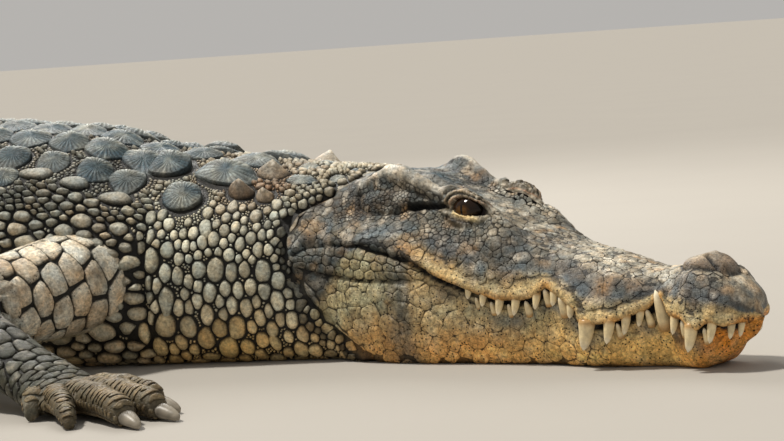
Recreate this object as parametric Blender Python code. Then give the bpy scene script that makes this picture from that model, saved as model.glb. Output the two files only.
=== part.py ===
"""Nile crocodile lying at rest, life size, as one still model.

Every size below is in centimetres and is turned to metres where points are made. A place on the
body is given as "run", the way along the spine from the snout tip, with the sideways and upward
distance from the spine's line on the floor.
"""

import math

import bmesh
import bpy
import numpy as np
from mathutils import Vector

CM = 0.01
GAP = 0.03
TOTAL_LENGTH = 338.0
HEAD_END = 52.0
NECK_END = 78.0
TRUNK_END = 168.0
MIDDLE_RUN = 125.0
JAW_START = 1.2
WHORLS = 36
DOUBLE_WHORLS = 18

# Which way the body points at each run, in degrees from +X.
TURN = {0: -24, 47: -24, 56: -20, 66: -12.5, 78: -5, 90: 0, 165: 0,
        200: -14, 235: -30, 270: -24, 305: 6, 338: 32}

# Head: heights and half-widths by run.
HEAD_TOP = {0: 6.5, 1: 8.4, 2: 9.8, 4: 11.5, 6: 12.3, 8: 11.9, 10: 11.1, 12.5: 10.9, 15: 11.3,
            18: 12.1, 21: 12.8, 24: 13.4, 27: 14.3, 30: 15.6, 33: 17.2, 36: 18.2, 39: 19.5,
            42: 20.7, 45: 21.9, 48: 22.2, 52: 22.6}
RIDGE_OUT = {0: 0.5, 1: 2.2, 2: 2.9, 4: 3.6, 6: 3.6, 8: 3.2, 10: 3.0, 12.5: 3.6, 15: 4.3,
             18: 4.6, 24: 4.5, 30: 4.9, 34: 5.2, 39: 5.4, 42: 5.8, 45: 6.3, 48: 6.8, 52: 8.0}
RIDGE_UP = {0: 6.3, 1: 7.7, 2: 8.9, 4: 10.6, 6: 11.2, 8: 10.6, 10: 10.0, 12.5: 10.1, 15: 10.5,
            18: 11.4, 21: 12.1, 24: 12.9, 27: 14.0, 30: 16.1, 32: 18.3, 34.5: 20.1, 37: 19.9,
            39: 19.9, 42: 21.3, 45.5: 22.9, 48: 22.0, 52: 20.4}
CHEEK_OUT = {0: 0.8, 1: 2.9, 2: 3.9, 4: 4.9, 6: 5.0, 8: 4.6, 10: 4.2, 12.5: 4.9, 15: 6.0,
             18: 6.6, 24: 6.5, 27: 6.8, 30: 7.1, 34: 6.9, 39: 6.9, 42: 7.1, 45: 7.6, 48: 8.6,
             52: 10.2}
CHEEK_UP = {0: 6.0, 1: 7.0, 2: 7.8, 4: 8.8, 6: 9.2, 8: 8.8, 10: 8.7, 12.5: 8.5, 15: 8.7,
            18: 9.3, 21: 10.3, 24: 11.2, 27: 12.6, 30: 14.4, 33: 16.0, 36: 16.5, 39: 17.0,
            42: 17.8, 45: 18.2, 48: 18.0, 52: 17.0}
FACE_OUT = {0: 0.9, 1: 3.1, 2: 4.2, 4: 5.3, 6: 5.6, 8: 5.3, 10: 4.75, 12.5: 5.4, 15: 6.9,
            18: 7.65, 21: 7.5, 24: 7.4, 27: 7.8, 30: 8.4, 33: 8.8, 36: 9.1, 39: 9.4, 42: 9.8,
            45: 10.3, 48: 11.0, 52: 12.0}
FACE_UP = {0: 5.7, 1: 6.3, 2: 6.9, 4: 6.9, 6: 7.2, 8: 7.5, 10: 8.4, 12.5: 7.5, 15: 7.2, 18: 7.4,
           21: 9.4, 24: 10.2, 27: 10.3, 30: 10.9, 33: 11.9, 36: 13.2, 39: 14.4, 42: 15.3,
           45: 16.0, 48: 16.0, 52: 15.4}
LIP_OUT = {0: 0.9, 0.5: 2.3, 1: 3.2, 2: 4.3, 3: 4.97, 4: 5.37, 5.6: 5.65, 7: 5.5, 8.2: 5.1,
           9.6: 4.75, 11.5: 5.2, 14: 6.5, 16: 7.4, 18: 7.75, 21: 7.6, 24: 7.6, 27: 8.0, 31: 8.9,
           35: 9.8, 39: 10.7, 43: 11.5, 47: 12.2, 50: 12.6, 56: 12.6}
MOUTH_UP = {0: 5.0, 1.3: 5.0, 2.1: 4.7, 3.3: 5.3, 4.8: 4.5, 6.5: 5.6, 8.5: 5.9, 9.5: 7.6,
            10.1: 7.6, 11: 6.7, 12.6: 6.0, 14.2: 5.4, 16.8: 5.0, 18.6: 5.2, 19.4: 6.7, 20.6: 7.4,
            21.8: 8.2, 23.1: 8.9, 25.2: 7.8, 27: 7.5, 29.1: 7.5, 31.3: 8.0, 34.4: 9.2,
            36.5: 10.0, 38.1: 10.8, 41.5: 12.5, 45.6: 13.9, 51.3: 13.5, 60: 13.0}
JAW_IN = {1.2: 3.0, 2: 2.1, 3: 1.5, 5: 1.1, 10: 0.8, 28: 0.9, 38: 0.6, 44: 0.1, 60: 0.0}
JOWL_IN = {1.2: 3.1, 2: 2.3, 3: 1.6, 5: 1.2, 10: 0.9, 24: 0.7, 34: 0.3, 42: -0.5, 48: -0.4,
           60: 0.0}
CHIN_UP = {1.2: 3.6, 2: 2.0, 3: 1.1, 5: 0.5, 10: 0.3, 60: 0.3}

# Neck, trunk and tail: half-width, height, height of the widest place.
WIDE = {48: 12.6, 56: 13.8, 62: 15.8, 70: 18.2, 78: 19.8, 85: 20.8, 95: 22.0, 110: 24.4,
        128: 25.8, 145: 25.0, 158: 22.0, 168: 18.0, 178: 14.5, 190: 12.5, 210: 10.2, 230: 8.0,
        250: 6.2, 270: 4.7, 290: 3.5, 310: 2.4, 325: 1.6, 338: 0.5}
HIGH = {48: 21.9, 52: 22.3, 57: 23.1, 62: 24.2, 68: 25.5, 74: 26.5, 85: 28.3, 92: 30.5,
        100: 31.6, 115: 32.6, 130: 32.6, 145: 31.4, 158: 29.4, 168: 27.2, 178: 24.8, 190: 22.2,
        210: 19.0, 230: 16.6, 250: 14.2, 270: 11.8, 290: 9.4, 310: 6.6, 325: 4.4, 338: 1.4}
WIDEST_UP = {48: 8.4, 62: 8.2, 85: 9.6, 128: 11.0, 158: 10.5, 178: 9.0, 230: 5.6, 290: 3.2,
             338: 0.6}
SQUARENESS = {48: 2.5, 85: 2.3, 160: 2.3, 185: 1.9, 260: 1.6, 338: 1.6}
RAIL_ANGLES = (0, 13, 27, 42, 58, 74, 88, 98, 122, 145, 162, 180)
CREST_UP = {168: 0.6, 180: 1.8, 215: 3.0, 250: 3.9, 270: 4.6, 300: 3.6, 325: 2.0, 338: 0.6}

# Teeth: run, length and radius.
UPPER_TEETH = ((0.75, 1.9, 0.38), (1.7, 1.3, 0.36), (3.1, 2.0, 0.45), (5.4, 2.5, 0.62),
               (7.7, 1.7, 0.42), (12.1, 1.4, 0.40), (13.5, 1.7, 0.45), (15.2, 2.2, 0.55),
               (17.8, 2.8, 0.80), (19.9, 1.3, 0.45), (22.2, 1.4, 0.42), (24.7, 1.4, 0.42),
               (27.4, 1.6, 0.45), (29.4, 1.6, 0.45), (31.4, 1.1, 0.40), (33.2, 0.9, 0.36))
LOWER_TEETH = ((3.9, 1.1, 0.38), (6.5, 1.3, 0.40), (9.7, 3.9, 0.68), (11.3, 1.4, 0.38),
               (14.4, 1.1, 0.34), (18.85, 1.1, 0.30), (21.1, 1.9, 0.55), (23.4, 1.4, 0.42),
               (26.1, 1.2, 0.40), (28.4, 0.9, 0.32), (30.5, 0.9, 0.34), (32.4, 0.8, 0.30))
EYE_RUN, EYE_OUT, EYE_UP, EYE_RADIUS = 35.4, 4.95, 18.2, 1.6

# Legs: joints as (x, y, z), with the half-width and half-height of the flesh there.
RIGHT_ARM = ((37, -12, 11.0, 7.6, 6.6), (33.4, -21, 10.6, 7.0, 6.3), (28.6, -29.4, 9.6, 5.6, 5.4),
             (26.8, -34.4, 8.8, 4.9, 4.9), (29.6, -39.6, 7.6, 4.7, 4.3),
             (35.6, -43.8, 5.8, 4.2, 3.5), (41.0, -46.6, 4.1, 4.0, 2.7))
RIGHT_DIGITS = ((60.8, -50.8), (62.6, -55.4), (60.0, -59.8), (52.6, -60.4), (45.2, -55.6))
LEFT_ARM = ((37, 12, 11.2, 7.6, 6.6), (33, 21.4, 10.6, 7.0, 6.3), (26.6, 29.6, 9.6, 5.6, 5.4),
            (24.2, 34.6, 8.8, 4.9, 4.9), (26.8, 39.8, 7.4, 4.7, 4.3),
            (32.4, 44.2, 5.6, 4.2, 3.5), (37.2, 47.6, 4.0, 4.0, 2.7))
LEFT_DIGITS = ((55.2, 52.0), (56.0, 57.6), (51.6, 61.8), (43.6, 62.8), (37.2, 57.0))
RIGHT_LEG = ((-37, -8, 12.8, 9.8, 9.2), (-31, -18, 12.8, 9.0, 8.6), (-22.6, -29, 12.6, 7.0, 7.0),
             (-18.6, -35, 11.4, 5.6, 5.8), (-22.6, -40.2, 9.2, 5.2, 5.2),
             (-30, -43.4, 6.4, 4.5, 4.1), (-33.8, -45.8, 4.0, 4.2, 3.2))
RIGHT_TOES = ((-9.4, -50.6), (-8.2, -56.6), (-12.6, -62.4), (-21.4, -63.8))
LEFT_LEG = ((-38, 8, 12.8, 9.8, 9.2), (-35, 19, 12.6, 9.0, 8.4), (-29, 30.5, 12.0, 7.0, 6.8),
            (-27.0, 36.8, 10.8, 5.6, 5.6), (-32.4, 40.8, 8.8, 5.2, 5.0),
            (-40.4, 43.6, 6.0, 4.5, 3.9), (-44.8, 46.2, 3.8, 4.2, 3.0))
LEFT_TOES = ((-21.4, 53.4), (-21.2, 59.8), (-26.6, 65.0), (-35.6, 65.8))
HAND = dict(palm=8.6, wide=4.9, high=2.1, digit=1.6, tip=1.1, claw=3.2, claws=3)
FOOT = dict(palm=12.4, wide=5.2, high=2.3, digit=1.8, tip=1.2, claw=3.6, claws=3)


def curve_through(table):
    """A smooth function through the table's points that never overshoots them."""
    x = np.array(sorted(table), float)
    y = np.array([table[k] for k in sorted(table)], float)
    step = np.diff(x)
    rise = np.diff(y) / step
    slope = np.zeros(len(x))
    for i in range(1, len(x) - 1):
        if rise[i - 1] * rise[i] > 0:
            a, b = 2 * step[i] + step[i - 1], step[i] + 2 * step[i - 1]
            slope[i] = (a + b) / (a / rise[i - 1] + b / rise[i])
    slope[0], slope[-1] = rise[0], rise[-1]

    def value(at):
        at = min(max(at, x[0]), x[-1])
        i = min(int(np.searchsorted(x, at, side="right")) - 1, len(x) - 2)
        t = (at - x[i]) / step[i]
        keep = (1 + 2 * t) * (1 - t) ** 2 * y[i] + t * t * (3 - 2 * t) * y[i + 1]
        lean = t * (1 - t) ** 2 * slope[i] - t * t * (1 - t) * slope[i + 1]
        return float(keep + step[i] * lean)

    return value


def smooth_step(t):
    t = min(max(t, 0.0), 1.0)
    return t * t * (3 - 2 * t)


turn = curve_through(TURN)
head_top, ridge_out, ridge_up = map(curve_through, (HEAD_TOP, RIDGE_OUT, RIDGE_UP))
cheek_out, cheek_up, face_out = map(curve_through, (CHEEK_OUT, CHEEK_UP, FACE_OUT))
face_up, lip_out, mouth_up = map(curve_through, (FACE_UP, LIP_OUT, MOUTH_UP))
jaw_in, jowl_in, chin_up = map(curve_through, (JAW_IN, JOWL_IN, CHIN_UP))
wide, high, widest_up = map(curve_through, (WIDE, HIGH, WIDEST_UP))
squareness, crest_up = map(curve_through, (SQUARENESS, CREST_UP))


def spine_line(step=0.25):
    """Runs and the spine's x and y at each, with the trunk's middle at the origin."""
    runs = np.arange(0, TOTAL_LENGTH + step, step)
    angle = np.radians([turn(r + step / 2) for r in runs])
    x = np.concatenate([[0], np.cumsum(-np.cos(angle) * step)[:-1]])
    y = np.concatenate([[0], np.cumsum(-np.sin(angle) * step)[:-1]])
    middle = int(MIDDLE_RUN / step)
    return runs, x - x[middle], y - y[middle]


SPINE = spine_line()


def place(run, out, up):
    """The point, in centimetres, at a run of the body, this far to its left and this high."""
    angle = math.radians(turn(run))
    x = np.interp(run, SPINE[0], SPINE[1]) - math.sin(angle) * out
    y = np.interp(run, SPINE[0], SPINE[2]) + math.cos(angle) * out
    return Vector((float(x), float(y), up))


def whorl_edges():
    """The runs at which one ring of tail scales ends and the next begins."""
    sizes = np.linspace(6.4, 3.0, WHORLS)
    sizes *= (TOTAL_LENGTH - 2 - TRUNK_END) / sizes.sum()
    return TRUNK_END + np.concatenate([[0], np.cumsum(sizes)])


WHORL = whorl_edges()


def flap(run):
    """How far the crest's flaps stand up at a run, as a saw with its steep side to the rear."""
    i = int(np.searchsorted(WHORL, run, side="right")) - 1
    if i < 0 or i >= WHORLS:
        return 0.0
    t = (run - WHORL[i]) / (WHORL[i + 1] - WHORL[i])
    saw = t / 0.86 if t < 0.86 else (1 - t) / 0.14
    return crest_up(run) * (0.25 + 0.75 * saw)


def head_rails(run):
    """Half of the head's section as (out, up) points, from its top line to its bottom line."""
    lip, mouth = lip_out(run), mouth_up(run)
    under = max(lip - jaw_in(run), 0.2)
    jowl = max(lip - jowl_in(run), 0.2)
    chin = min(chin_up(run), mouth - 0.6)
    edge = chin + min(0.6, 0.3 * (mouth - chin))
    low = 0.0 if run > 3 else chin * 0.8
    face = max(face_up(run), mouth + 1.1)
    cheek = max(cheek_up(run), face + 0.25)
    ridge = max(ridge_up(run), cheek + 0.25)
    top = max(head_top(run), ridge - 2.4)
    return [
        (0.0, top),
        (0.55 * ridge_out(run), top * 0.8 + min(ridge, top) * 0.2),
        (ridge_out(run), ridge),
        (cheek_out(run), cheek),
        (face_out(run), face),
        (lip, mouth + 0.75),
        (lip - 0.15, mouth),
        (under, mouth - 0.15),
        (jowl, max(mouth * 0.5, (mouth + edge) / 2 - 0.1)),
        (jowl * 0.9, edge),
        (jowl * (0.68 + 0.18 * smooth_step((run - 14) / 20)), low),
        (0.0, low),
    ]


def body_rails(run):
    """The same for neck, trunk and tail, with the crest on the tail."""
    half, top, level, power = wide(run), high(run), widest_up(run), 2 / squareness(run)
    rails = []
    for angle in RAIL_ANGLES:
        a = math.radians(angle)
        out = 0.0
        if angle <= 90:
            out = half * math.sin(a) ** power
            up = level + (top - level) * math.cos(a) ** power
        else:
            out = half * math.sin(a) ** 0.55 if angle < 180 else 0.0
            up = level - (level + 1.5) * (-math.cos(a)) ** 0.6
        rails.append((out, max(up, 0.0)))
    if run > TRUNK_END:
        single = smooth_step((run - WHORL[DOUBLE_WHORLS - 1]) / 8)
        rise = flap(run)
        rails[2] = (rails[2][0], rails[2][1] + rise * (1 - single))
        rails[0] = (0.0, rails[0][1] + rise * single)
    return rails


def rails_at(run, grow=0.0):
    share = smooth_step((run - 48) / 9)
    head, body = head_rails(run), body_rails(run)
    half = [(a[0] + (b[0] - a[0]) * share, a[1] + (b[1] - a[1]) * share)
            for a, b in zip(head, body)]
    if grow:
        half = [(out + (grow if out else 0), up + grow) for out, up in half]
        half[-3:] = [(out, up - 3 * grow - 1.0) for out, up in half[-3:]]
    return half


def tail_half(half):
    """The tail's section needs fewer points than the trunk's."""
    return [half[i] for i in (0, 1, 2, 3, 5, 6, 8, 9, 11)]


def both_sides(half):
    """A closed loop of (out, up) points from half of one."""
    other = [(-out, up) for out, up in reversed(half) if out > 0]
    return list(half) + other


def part_object(name, mesh, slot):
    made = bpy.data.objects.new(name, mesh)
    made.data.materials.append(SLOTS[slot])
    parts.objects.link(made)
    return made


def cutter_object(name, mesh):
    made = bpy.data.objects.new(name, mesh)
    made.hide_render = True
    made.display_type = "WIRE"
    cutters.objects.link(made)
    return made


def mesh_of(form, name, angle=40):
    bmesh.ops.recalc_face_normals(form, faces=form.faces)
    mesh = bpy.data.meshes.new(name)
    form.to_mesh(mesh)
    form.free()
    mesh.shade_smooth()
    mesh.set_sharp_from_angle(angle=math.radians(angle))
    return mesh


def loft(name, loops):
    """A closed mesh over loops of points, in centimetres, with a flat cap on each end."""
    form = bmesh.new()
    rows = [[form.verts.new(Vector(p) * CM) for p in loop] for loop in loops]
    for first, second in zip(rows, rows[1:]):
        for i in range(len(first)):
            j = (i + 1) % len(first)
            form.faces.new((first[i], first[j], second[j], second[i]))
    for row in (rows[0], rows[-1]):
        form.faces.new(row)
    bmesh.ops.remove_doubles(form, verts=form.verts, dist=0.00002)
    bmesh.ops.triangulate(form, faces=form.faces)
    return mesh_of(form, name)


def body_length(name, runs, grow=0.0):
    loops = []
    for run in runs:
        half = rails_at(run, grow)
        if name.startswith("tail"):
            half = tail_half(half)
        loops.append([place(run, out, up) for out, up in both_sides(half)])
    return loft(name, loops)


def upper_head():
    runs = [0.12, 0.5, 1, 1.7, 2.6, 3.6, 4.8, 6, 7.2, 8.4, 9.3, 10.2, 11.4, 13, 15, 17, 18.7,
            19.6, 21, 22.3, 23.4, 25, 27, 29, 31, 32.6, 34.5, 36.5, 38.5, 40.5, 42.5, 44.4, 45.8,
            47.4, 49.5, HEAD_END - GAP / 2]
    loops = []
    for run in runs:
        half = rails_at(run)[:7] + [(0.0, mouth_up(run) + GAP)]
        half[6] = (half[6][0], half[6][1] + GAP)
        loops.append([place(run, out, up) for out, up in both_sides(half)])
    return loft("head", loops)


def lower_head():
    runs = [JAW_START, 1.7, 2.6, 3.6, 4.8, 6, 7.2, 8.4, 9.3, 10.2, 11.4, 13, 15, 17, 18.7, 19.6,
            21, 22.3, 23.4, 25, 27, 29, 31, 33, 35, 37, 39, 41, 43, 45, 47, 49.5,
            HEAD_END - GAP / 2]
    loops = []
    for run in runs:
        half = [(0.0, mouth_up(run) - 0.15)] + rails_at(run)[7:]
        loops.append([place(run, out, up) for out, up in both_sides(half)])
    return loft("lower_jaw", loops)


def tooth_cones(name, teeth, upward, room=0.0):
    """Every tooth of one jaw as cones in one mesh, each a little wider and longer by room."""
    form = bmesh.new()
    for run, length, radius in teeth:
        root = mouth_up(run) + 0.7
        if upward:
            root = mouth_up(run) - (2.6 if length > 3 else 1.2) - 0.7
        for side in (-1, 1):
            spot = place(run, side * (lip_out(run) - (1.2 if upward else 0.3)), root)
            lean = place(run, side * lip_out(run), root) - spot
            slant = (0.27 if length > 3 else 0.42) if upward else 0.15
            way = (Vector((0, 0, 1 if upward else -1)) + lean.normalized() * slant).normalized()
            tall = length + 0.7 + room
            grown = bmesh.ops.create_cone(form, cap_ends=True, segments=5, depth=tall * CM,
                                          radius1=(radius + room) * CM,
                                          radius2=(0.1 + room) * CM)
            turned = Vector((0, 0, 1)).rotation_difference(way).to_matrix()
            middle = (spot + way * tall / 2) * CM
            for vert in grown["verts"]:
                vert.co = turned @ vert.co + middle
    return mesh_of(form, name)


def eyeballs(name, side, radius):
    form = bmesh.new()
    bmesh.ops.create_uvsphere(form, u_segments=12, v_segments=8, radius=radius * CM)
    middle = place(EYE_RUN, side * EYE_OUT, EYE_UP) * CM
    bmesh.ops.translate(form, verts=form.verts, vec=middle)
    return mesh_of(form, name)


def boolean(obj, operation, other):
    modifier = obj.modifiers.new(operation.lower() + "_" + other.name, "BOOLEAN")
    modifier.operation = operation
    modifier.solver = "EXACT"
    modifier.object = other


def tube_loops(path, sides, count, floor=0.0):
    """Loops round a smooth path through (x, y, z, half-width, half-height) points."""
    points = np.array(path, float)
    along = np.concatenate([[0], np.cumsum(np.linalg.norm(np.diff(points[:, :3], axis=0), axis=1))])
    smooth = [curve_through(dict(zip(along, points[:, k]))) for k in range(5)]
    loops = []
    for t in np.linspace(0, along[-1], count):
        before = Vector([f(max(t - 0.4, 0)) for f in smooth[:3]])
        after = Vector([f(min(t + 0.4, along[-1])) for f in smooth[:3]])
        ahead = (after - before).normalized()
        across = ahead.cross(Vector((0, 0, 1))).normalized()
        upward = across.cross(ahead)
        centre = Vector([f(t) for f in smooth[:3]])
        loop = []
        for i in range(sides):
            a = 2 * math.pi * i / sides
            p = centre + across * smooth[3](t) * math.cos(a) + upward * smooth[4](t) * math.sin(a)
            p.z = max(p.z, floor)
            loop.append(p)
        loops.append(loop)
    return loops


def between(loops, first, last):
    """The loops of one length of a limb, drawn back from the cuts at its ends by half the gap."""
    chosen = [list(loop) for loop in loops[first:last + 1]]
    if first > 0:
        chosen[0] = [p + (q - p).normalized() * GAP for p, q in zip(chosen[0], chosen[1])]
    if last < len(loops) - 1:
        chosen[-1] = [p + (q - p).normalized() * GAP for p, q in zip(chosen[-1], chosen[-2])]
    return chosen


def digit_path(base, tip, shape):
    base, tip = Vector(base), Vector((tip[0], tip[1], 0.0))
    end = tip - (tip - base).normalized() * shape["claw"] * 0.8
    wide_part, thin_part = shape["digit"], shape["tip"]
    return [(base.x, base.y, base.z, wide_part * 1.1, wide_part),
            (base.x * 0.55 + end.x * 0.45, base.y * 0.55 + end.y * 0.45, base.z * 0.8 + 0.2,
             wide_part, wide_part),
            (end.x, end.y, thin_part * 0.95, thin_part, thin_part)]


def claw(name, path, shape):
    """A curved claw that starts just past the end of its digit and comes down to the floor."""
    end, before = Vector(path[-1][:3]), Vector(path[-2][:3])
    ahead = Vector((end.x - before.x, end.y - before.y, 0)).normalized()
    curve = bpy.data.curves.new(name + "_line", "CURVE")
    curve.dimensions = "3D"
    curve.bevel_depth = CM
    curve.bevel_resolution = 1
    curve.use_fill_caps = True
    spline = curve.splines.new("POLY")
    count = 4
    spline.points.add(count - 1)
    for i in range(count):
        t = i / (count - 1)
        radius = shape["tip"] * 0.62 * (1 - t) ** 0.8 + 0.07
        forward = GAP + 0.01 + shape["claw"] * t
        height = max(end.z * 1.05 * (1 - t * t), radius + 0.01)
        spline.points[i].co = (*((end + ahead * forward) * CM).to_tuple()[:2], height * CM, 1)
        spline.points[i].radius = radius
    guide = bpy.data.objects.new(name + "_line", curve)
    bpy.context.scene.collection.objects.link(guide)
    bpy.context.view_layer.update()
    graph = bpy.context.evaluated_depsgraph_get()
    mesh = bpy.data.meshes.new_from_object(guide.evaluated_get(graph))
    bpy.data.objects.remove(guide)
    form = bmesh.new()
    form.from_mesh(mesh)
    bmesh.ops.remove_doubles(form, verts=form.verts, dist=0.00002)
    return part_object(name, mesh_of(form, name), "claw")


def limb(names, path, tips, shape, cut):
    """Two lengths of a leg and its hand or foot, with digits and claws."""
    upper, lower, end = names
    loops = tube_loops(path, 10, 13)
    elbow, wrist = 6, 12
    top = part_object(upper, loft(upper, between(loops, 0, elbow)), "skin")
    boolean(top, "DIFFERENCE", cut)
    part_object(lower, loft(lower, between(loops, elbow, wrist)), "skin")
    room = [(*p[:3], p[3] + GAP * 1.5, p[4] + GAP * 1.5) for p in path]
    shank = tube_loops(room, 10, 13, -1.0)[elbow - 1:]
    shank.append([p + (p - q).normalized() * GAP * 1.5 for p, q in zip(shank[-1], shank[-2])])
    shank_room = cutter_object(lower + "_room", loft(lower + "_room", shank))
    last = path[-1]
    middle = Vector((sum(t[0] for t in tips[:3]) / 3, sum(t[1] for t in tips[:3]) / 3, 0))
    start = Vector(last[:3])
    ahead = Vector((middle.x - start.x, middle.y - start.y, 0)).normalized()
    knuckle = start + ahead * shape["palm"]
    start += ahead * 2.2
    half = (start + knuckle) / 2
    palm = [(start.x, start.y, start.z, last[3], last[4]),
            (half.x, half.y, 2.7, (last[3] + shape["wide"]) / 2, 2.7),
            (knuckle.x, knuckle.y, 1.7, shape["wide"], 1.8)]
    hand = part_object(end, loft(end, tube_loops(palm, 10, 5)), "skin")
    for number, tip in enumerate(tips, 1):
        spread = (number - 1) / (len(tips) - 1)
        across = ahead.cross(Vector((0, 0, 1)))
        side = 1 if across.dot(Vector((tips[-1][0], tips[-1][1], 0)) - knuckle) > 0 else -1
        base = knuckle - ahead * shape["palm"] * (0.18 + 0.45 * max(spread - 0.5, 0))
        base += across * side * (spread - 0.5) * shape["wide"] * 1.25
        base.z = 1.8
        way = digit_path(base, tip, shape)
        loops_of_digit = tube_loops(way, 6, 5)
        boolean(hand, "UNION",
                cutter_object(f"{end}_digit_{number}", loft(f"{end}_digit_{number}",
                                                            loops_of_digit)))
        if number <= shape["claws"]:
            claw(f"{end}_claw_{number}", way, shape)
    boolean(hand, "DIFFERENCE", shank_room)
    return hand


def clear_scene():
    for obj in list(bpy.data.objects):
        bpy.data.objects.remove(obj)


def collection(name):
    made = bpy.data.collections.new(name)
    bpy.context.scene.collection.children.link(made)
    return made


def material(name, color, roughness):
    made = bpy.data.materials.new(name)
    made.use_nodes = True
    shader = made.node_tree.nodes["Principled BSDF"]
    shader.inputs["Base Color"].default_value = (*color, 1)
    shader.inputs["Roughness"].default_value = roughness
    shader.inputs["Metallic"].default_value = 0.0
    return made


clear_scene()
parts = collection("nile_crocodile")
cutters = collection("cutters")
SLOTS = {
    "skin": material("skin", (0.23, 0.22, 0.15), 0.6),
    "eye": material("eye", (0.16, 0.10, 0.03), 0.12),
    "claw": material("claw", (0.20, 0.19, 0.16), 0.4),
}

head = part_object("head", upper_head(), "skin")
jaw = part_object("lower_jaw", lower_head(), "skin")
upper_teeth = cutter_object("upper_teeth", tooth_cones("upper_teeth", UPPER_TEETH, False))
upper_room = cutter_object("upper_tooth_room",
                           tooth_cones("upper_tooth_room", UPPER_TEETH, False, GAP * 2))
lower_teeth = cutter_object("lower_teeth", tooth_cones("lower_teeth", LOWER_TEETH, True))
lower_room = cutter_object("lower_tooth_room",
                           tooth_cones("lower_tooth_room", LOWER_TEETH, True, GAP * 2))
boolean(head, "DIFFERENCE", lower_room)
boolean(head, "UNION", upper_teeth)
boolean(jaw, "DIFFERENCE", upper_room)
boolean(jaw, "UNION", lower_teeth)
for side, label in ((1, "left"), (-1, "right")):
    part_object("eye_" + label, eyeballs("eye_" + label, side, EYE_RADIUS), "eye")
    socket = cutter_object("socket_" + label,
                           eyeballs("socket_" + label, side, EYE_RADIUS + GAP * 1.5))
    boolean(head, "DIFFERENCE", socket)

neck_runs = [HEAD_END + GAP / 2, 54, 57, 60, 64, 68, 73, NECK_END - GAP / 2]
part_object("neck", body_length("neck", neck_runs), "skin")
trunk_runs = [NECK_END + GAP / 2, 84, 90, 96, 103, 111, 120, 130, 140, 148, 155, 162,
              TRUNK_END - GAP / 2]
part_object("trunk", body_length("trunk", trunk_runs), "skin")
for number, (first, last) in enumerate(((0, 7), (7, 15), (15, 25), (25, 36)), 1):
    runs = [WHORL[first] + GAP / 2]
    for i in range(first, last):
        size = WHORL[i + 1] - WHORL[i]
        runs += [WHORL[i] + size * 0.86]
        runs += [WHORL[i + 1] - (GAP / 2 if i == last - 1 else 0)]
    part_object(f"tail_{number}", body_length(f"tail_{number}", runs), "skin")

flank_runs = [56, 64, 72, *trunk_runs, 176, 184]
flank = cutter_object("flank_room", body_length("flank_room", flank_runs, GAP * 2))
limb(("right_upper_arm", "right_forearm", "right_hand"), RIGHT_ARM, RIGHT_DIGITS, HAND, flank)
limb(("left_upper_arm", "left_forearm", "left_hand"), LEFT_ARM, LEFT_DIGITS, HAND, flank)
limb(("right_thigh", "right_shank", "right_foot"), RIGHT_LEG, RIGHT_TOES, FOOT, flank)
limb(("left_thigh", "left_shank", "left_foot"), LEFT_LEG, LEFT_TOES, FOOT, flank)
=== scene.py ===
"""Looks of a life-size Nile crocodile that lies at rest: skin, scales, eyes, teeth and claws.

Lengths are in centimetres until points are written to a mesh, which is in metres. A place on the
body is a run, the way back along the spine from the snout tip, and a girth place from -1 to 1:
0 is the top line, 1 the belly line reached down the left side, -1 the same down the right side.
"""

import math

import bmesh
import bpy
import numpy as np
from mathutils import Matrix, Vector
from mathutils.kdtree import KDTree


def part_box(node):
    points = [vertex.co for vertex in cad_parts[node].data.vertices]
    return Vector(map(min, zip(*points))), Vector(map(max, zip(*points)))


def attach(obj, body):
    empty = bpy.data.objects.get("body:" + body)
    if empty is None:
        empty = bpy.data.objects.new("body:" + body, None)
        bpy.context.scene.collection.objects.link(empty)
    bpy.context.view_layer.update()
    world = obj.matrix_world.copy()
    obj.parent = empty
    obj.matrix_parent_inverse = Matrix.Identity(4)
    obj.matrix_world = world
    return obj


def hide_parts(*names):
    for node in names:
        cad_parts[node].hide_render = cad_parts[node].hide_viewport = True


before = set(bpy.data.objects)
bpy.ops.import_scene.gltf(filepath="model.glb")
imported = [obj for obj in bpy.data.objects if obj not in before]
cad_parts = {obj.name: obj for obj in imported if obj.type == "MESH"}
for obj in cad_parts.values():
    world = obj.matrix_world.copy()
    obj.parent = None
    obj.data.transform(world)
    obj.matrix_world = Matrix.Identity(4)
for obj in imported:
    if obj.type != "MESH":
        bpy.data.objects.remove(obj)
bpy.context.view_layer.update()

CM = 0.01
TOTAL_LENGTH = 338.0
TRUNK_END = 168.0
MIDDLE_RUN = 125.0
WHORLS = 36
DOUBLE_WHORLS = 18

TURN = {0: -24, 47: -24, 56: -20, 66: -12.5, 78: -5, 90: 0, 165: 0,
        200: -14, 235: -30, 270: -24, 305: 6, 338: 32}
HEAD_TOP = {0: 6.5, 1: 8.4, 2: 9.8, 4: 11.5, 6: 12.3, 8: 11.9, 10: 11.1, 12.5: 10.9, 15: 11.3,
            18: 12.1, 21: 12.8, 24: 13.4, 27: 14.3, 30: 15.6, 33: 17.2, 36: 18.2, 39: 19.5,
            42: 20.7, 45: 21.9, 48: 22.2, 52: 22.6}
RIDGE_OUT = {0: 0.5, 1: 2.2, 2: 2.9, 4: 3.6, 6: 3.6, 8: 3.2, 10: 3.0, 12.5: 3.6, 15: 4.3,
             18: 4.6, 24: 4.5, 30: 4.9, 34: 5.2, 39: 5.4, 42: 5.8, 45: 6.3, 48: 6.8, 52: 8.0}
RIDGE_UP = {0: 6.3, 1: 7.7, 2: 8.9, 4: 10.6, 6: 11.2, 8: 10.6, 10: 10.0, 12.5: 10.1, 15: 10.5,
            18: 11.4, 21: 12.1, 24: 12.9, 27: 14.0, 30: 16.1, 32: 18.3, 34.5: 20.1, 37: 19.9,
            39: 19.9, 42: 21.3, 45.5: 22.9, 48: 22.0, 52: 20.4}
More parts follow.
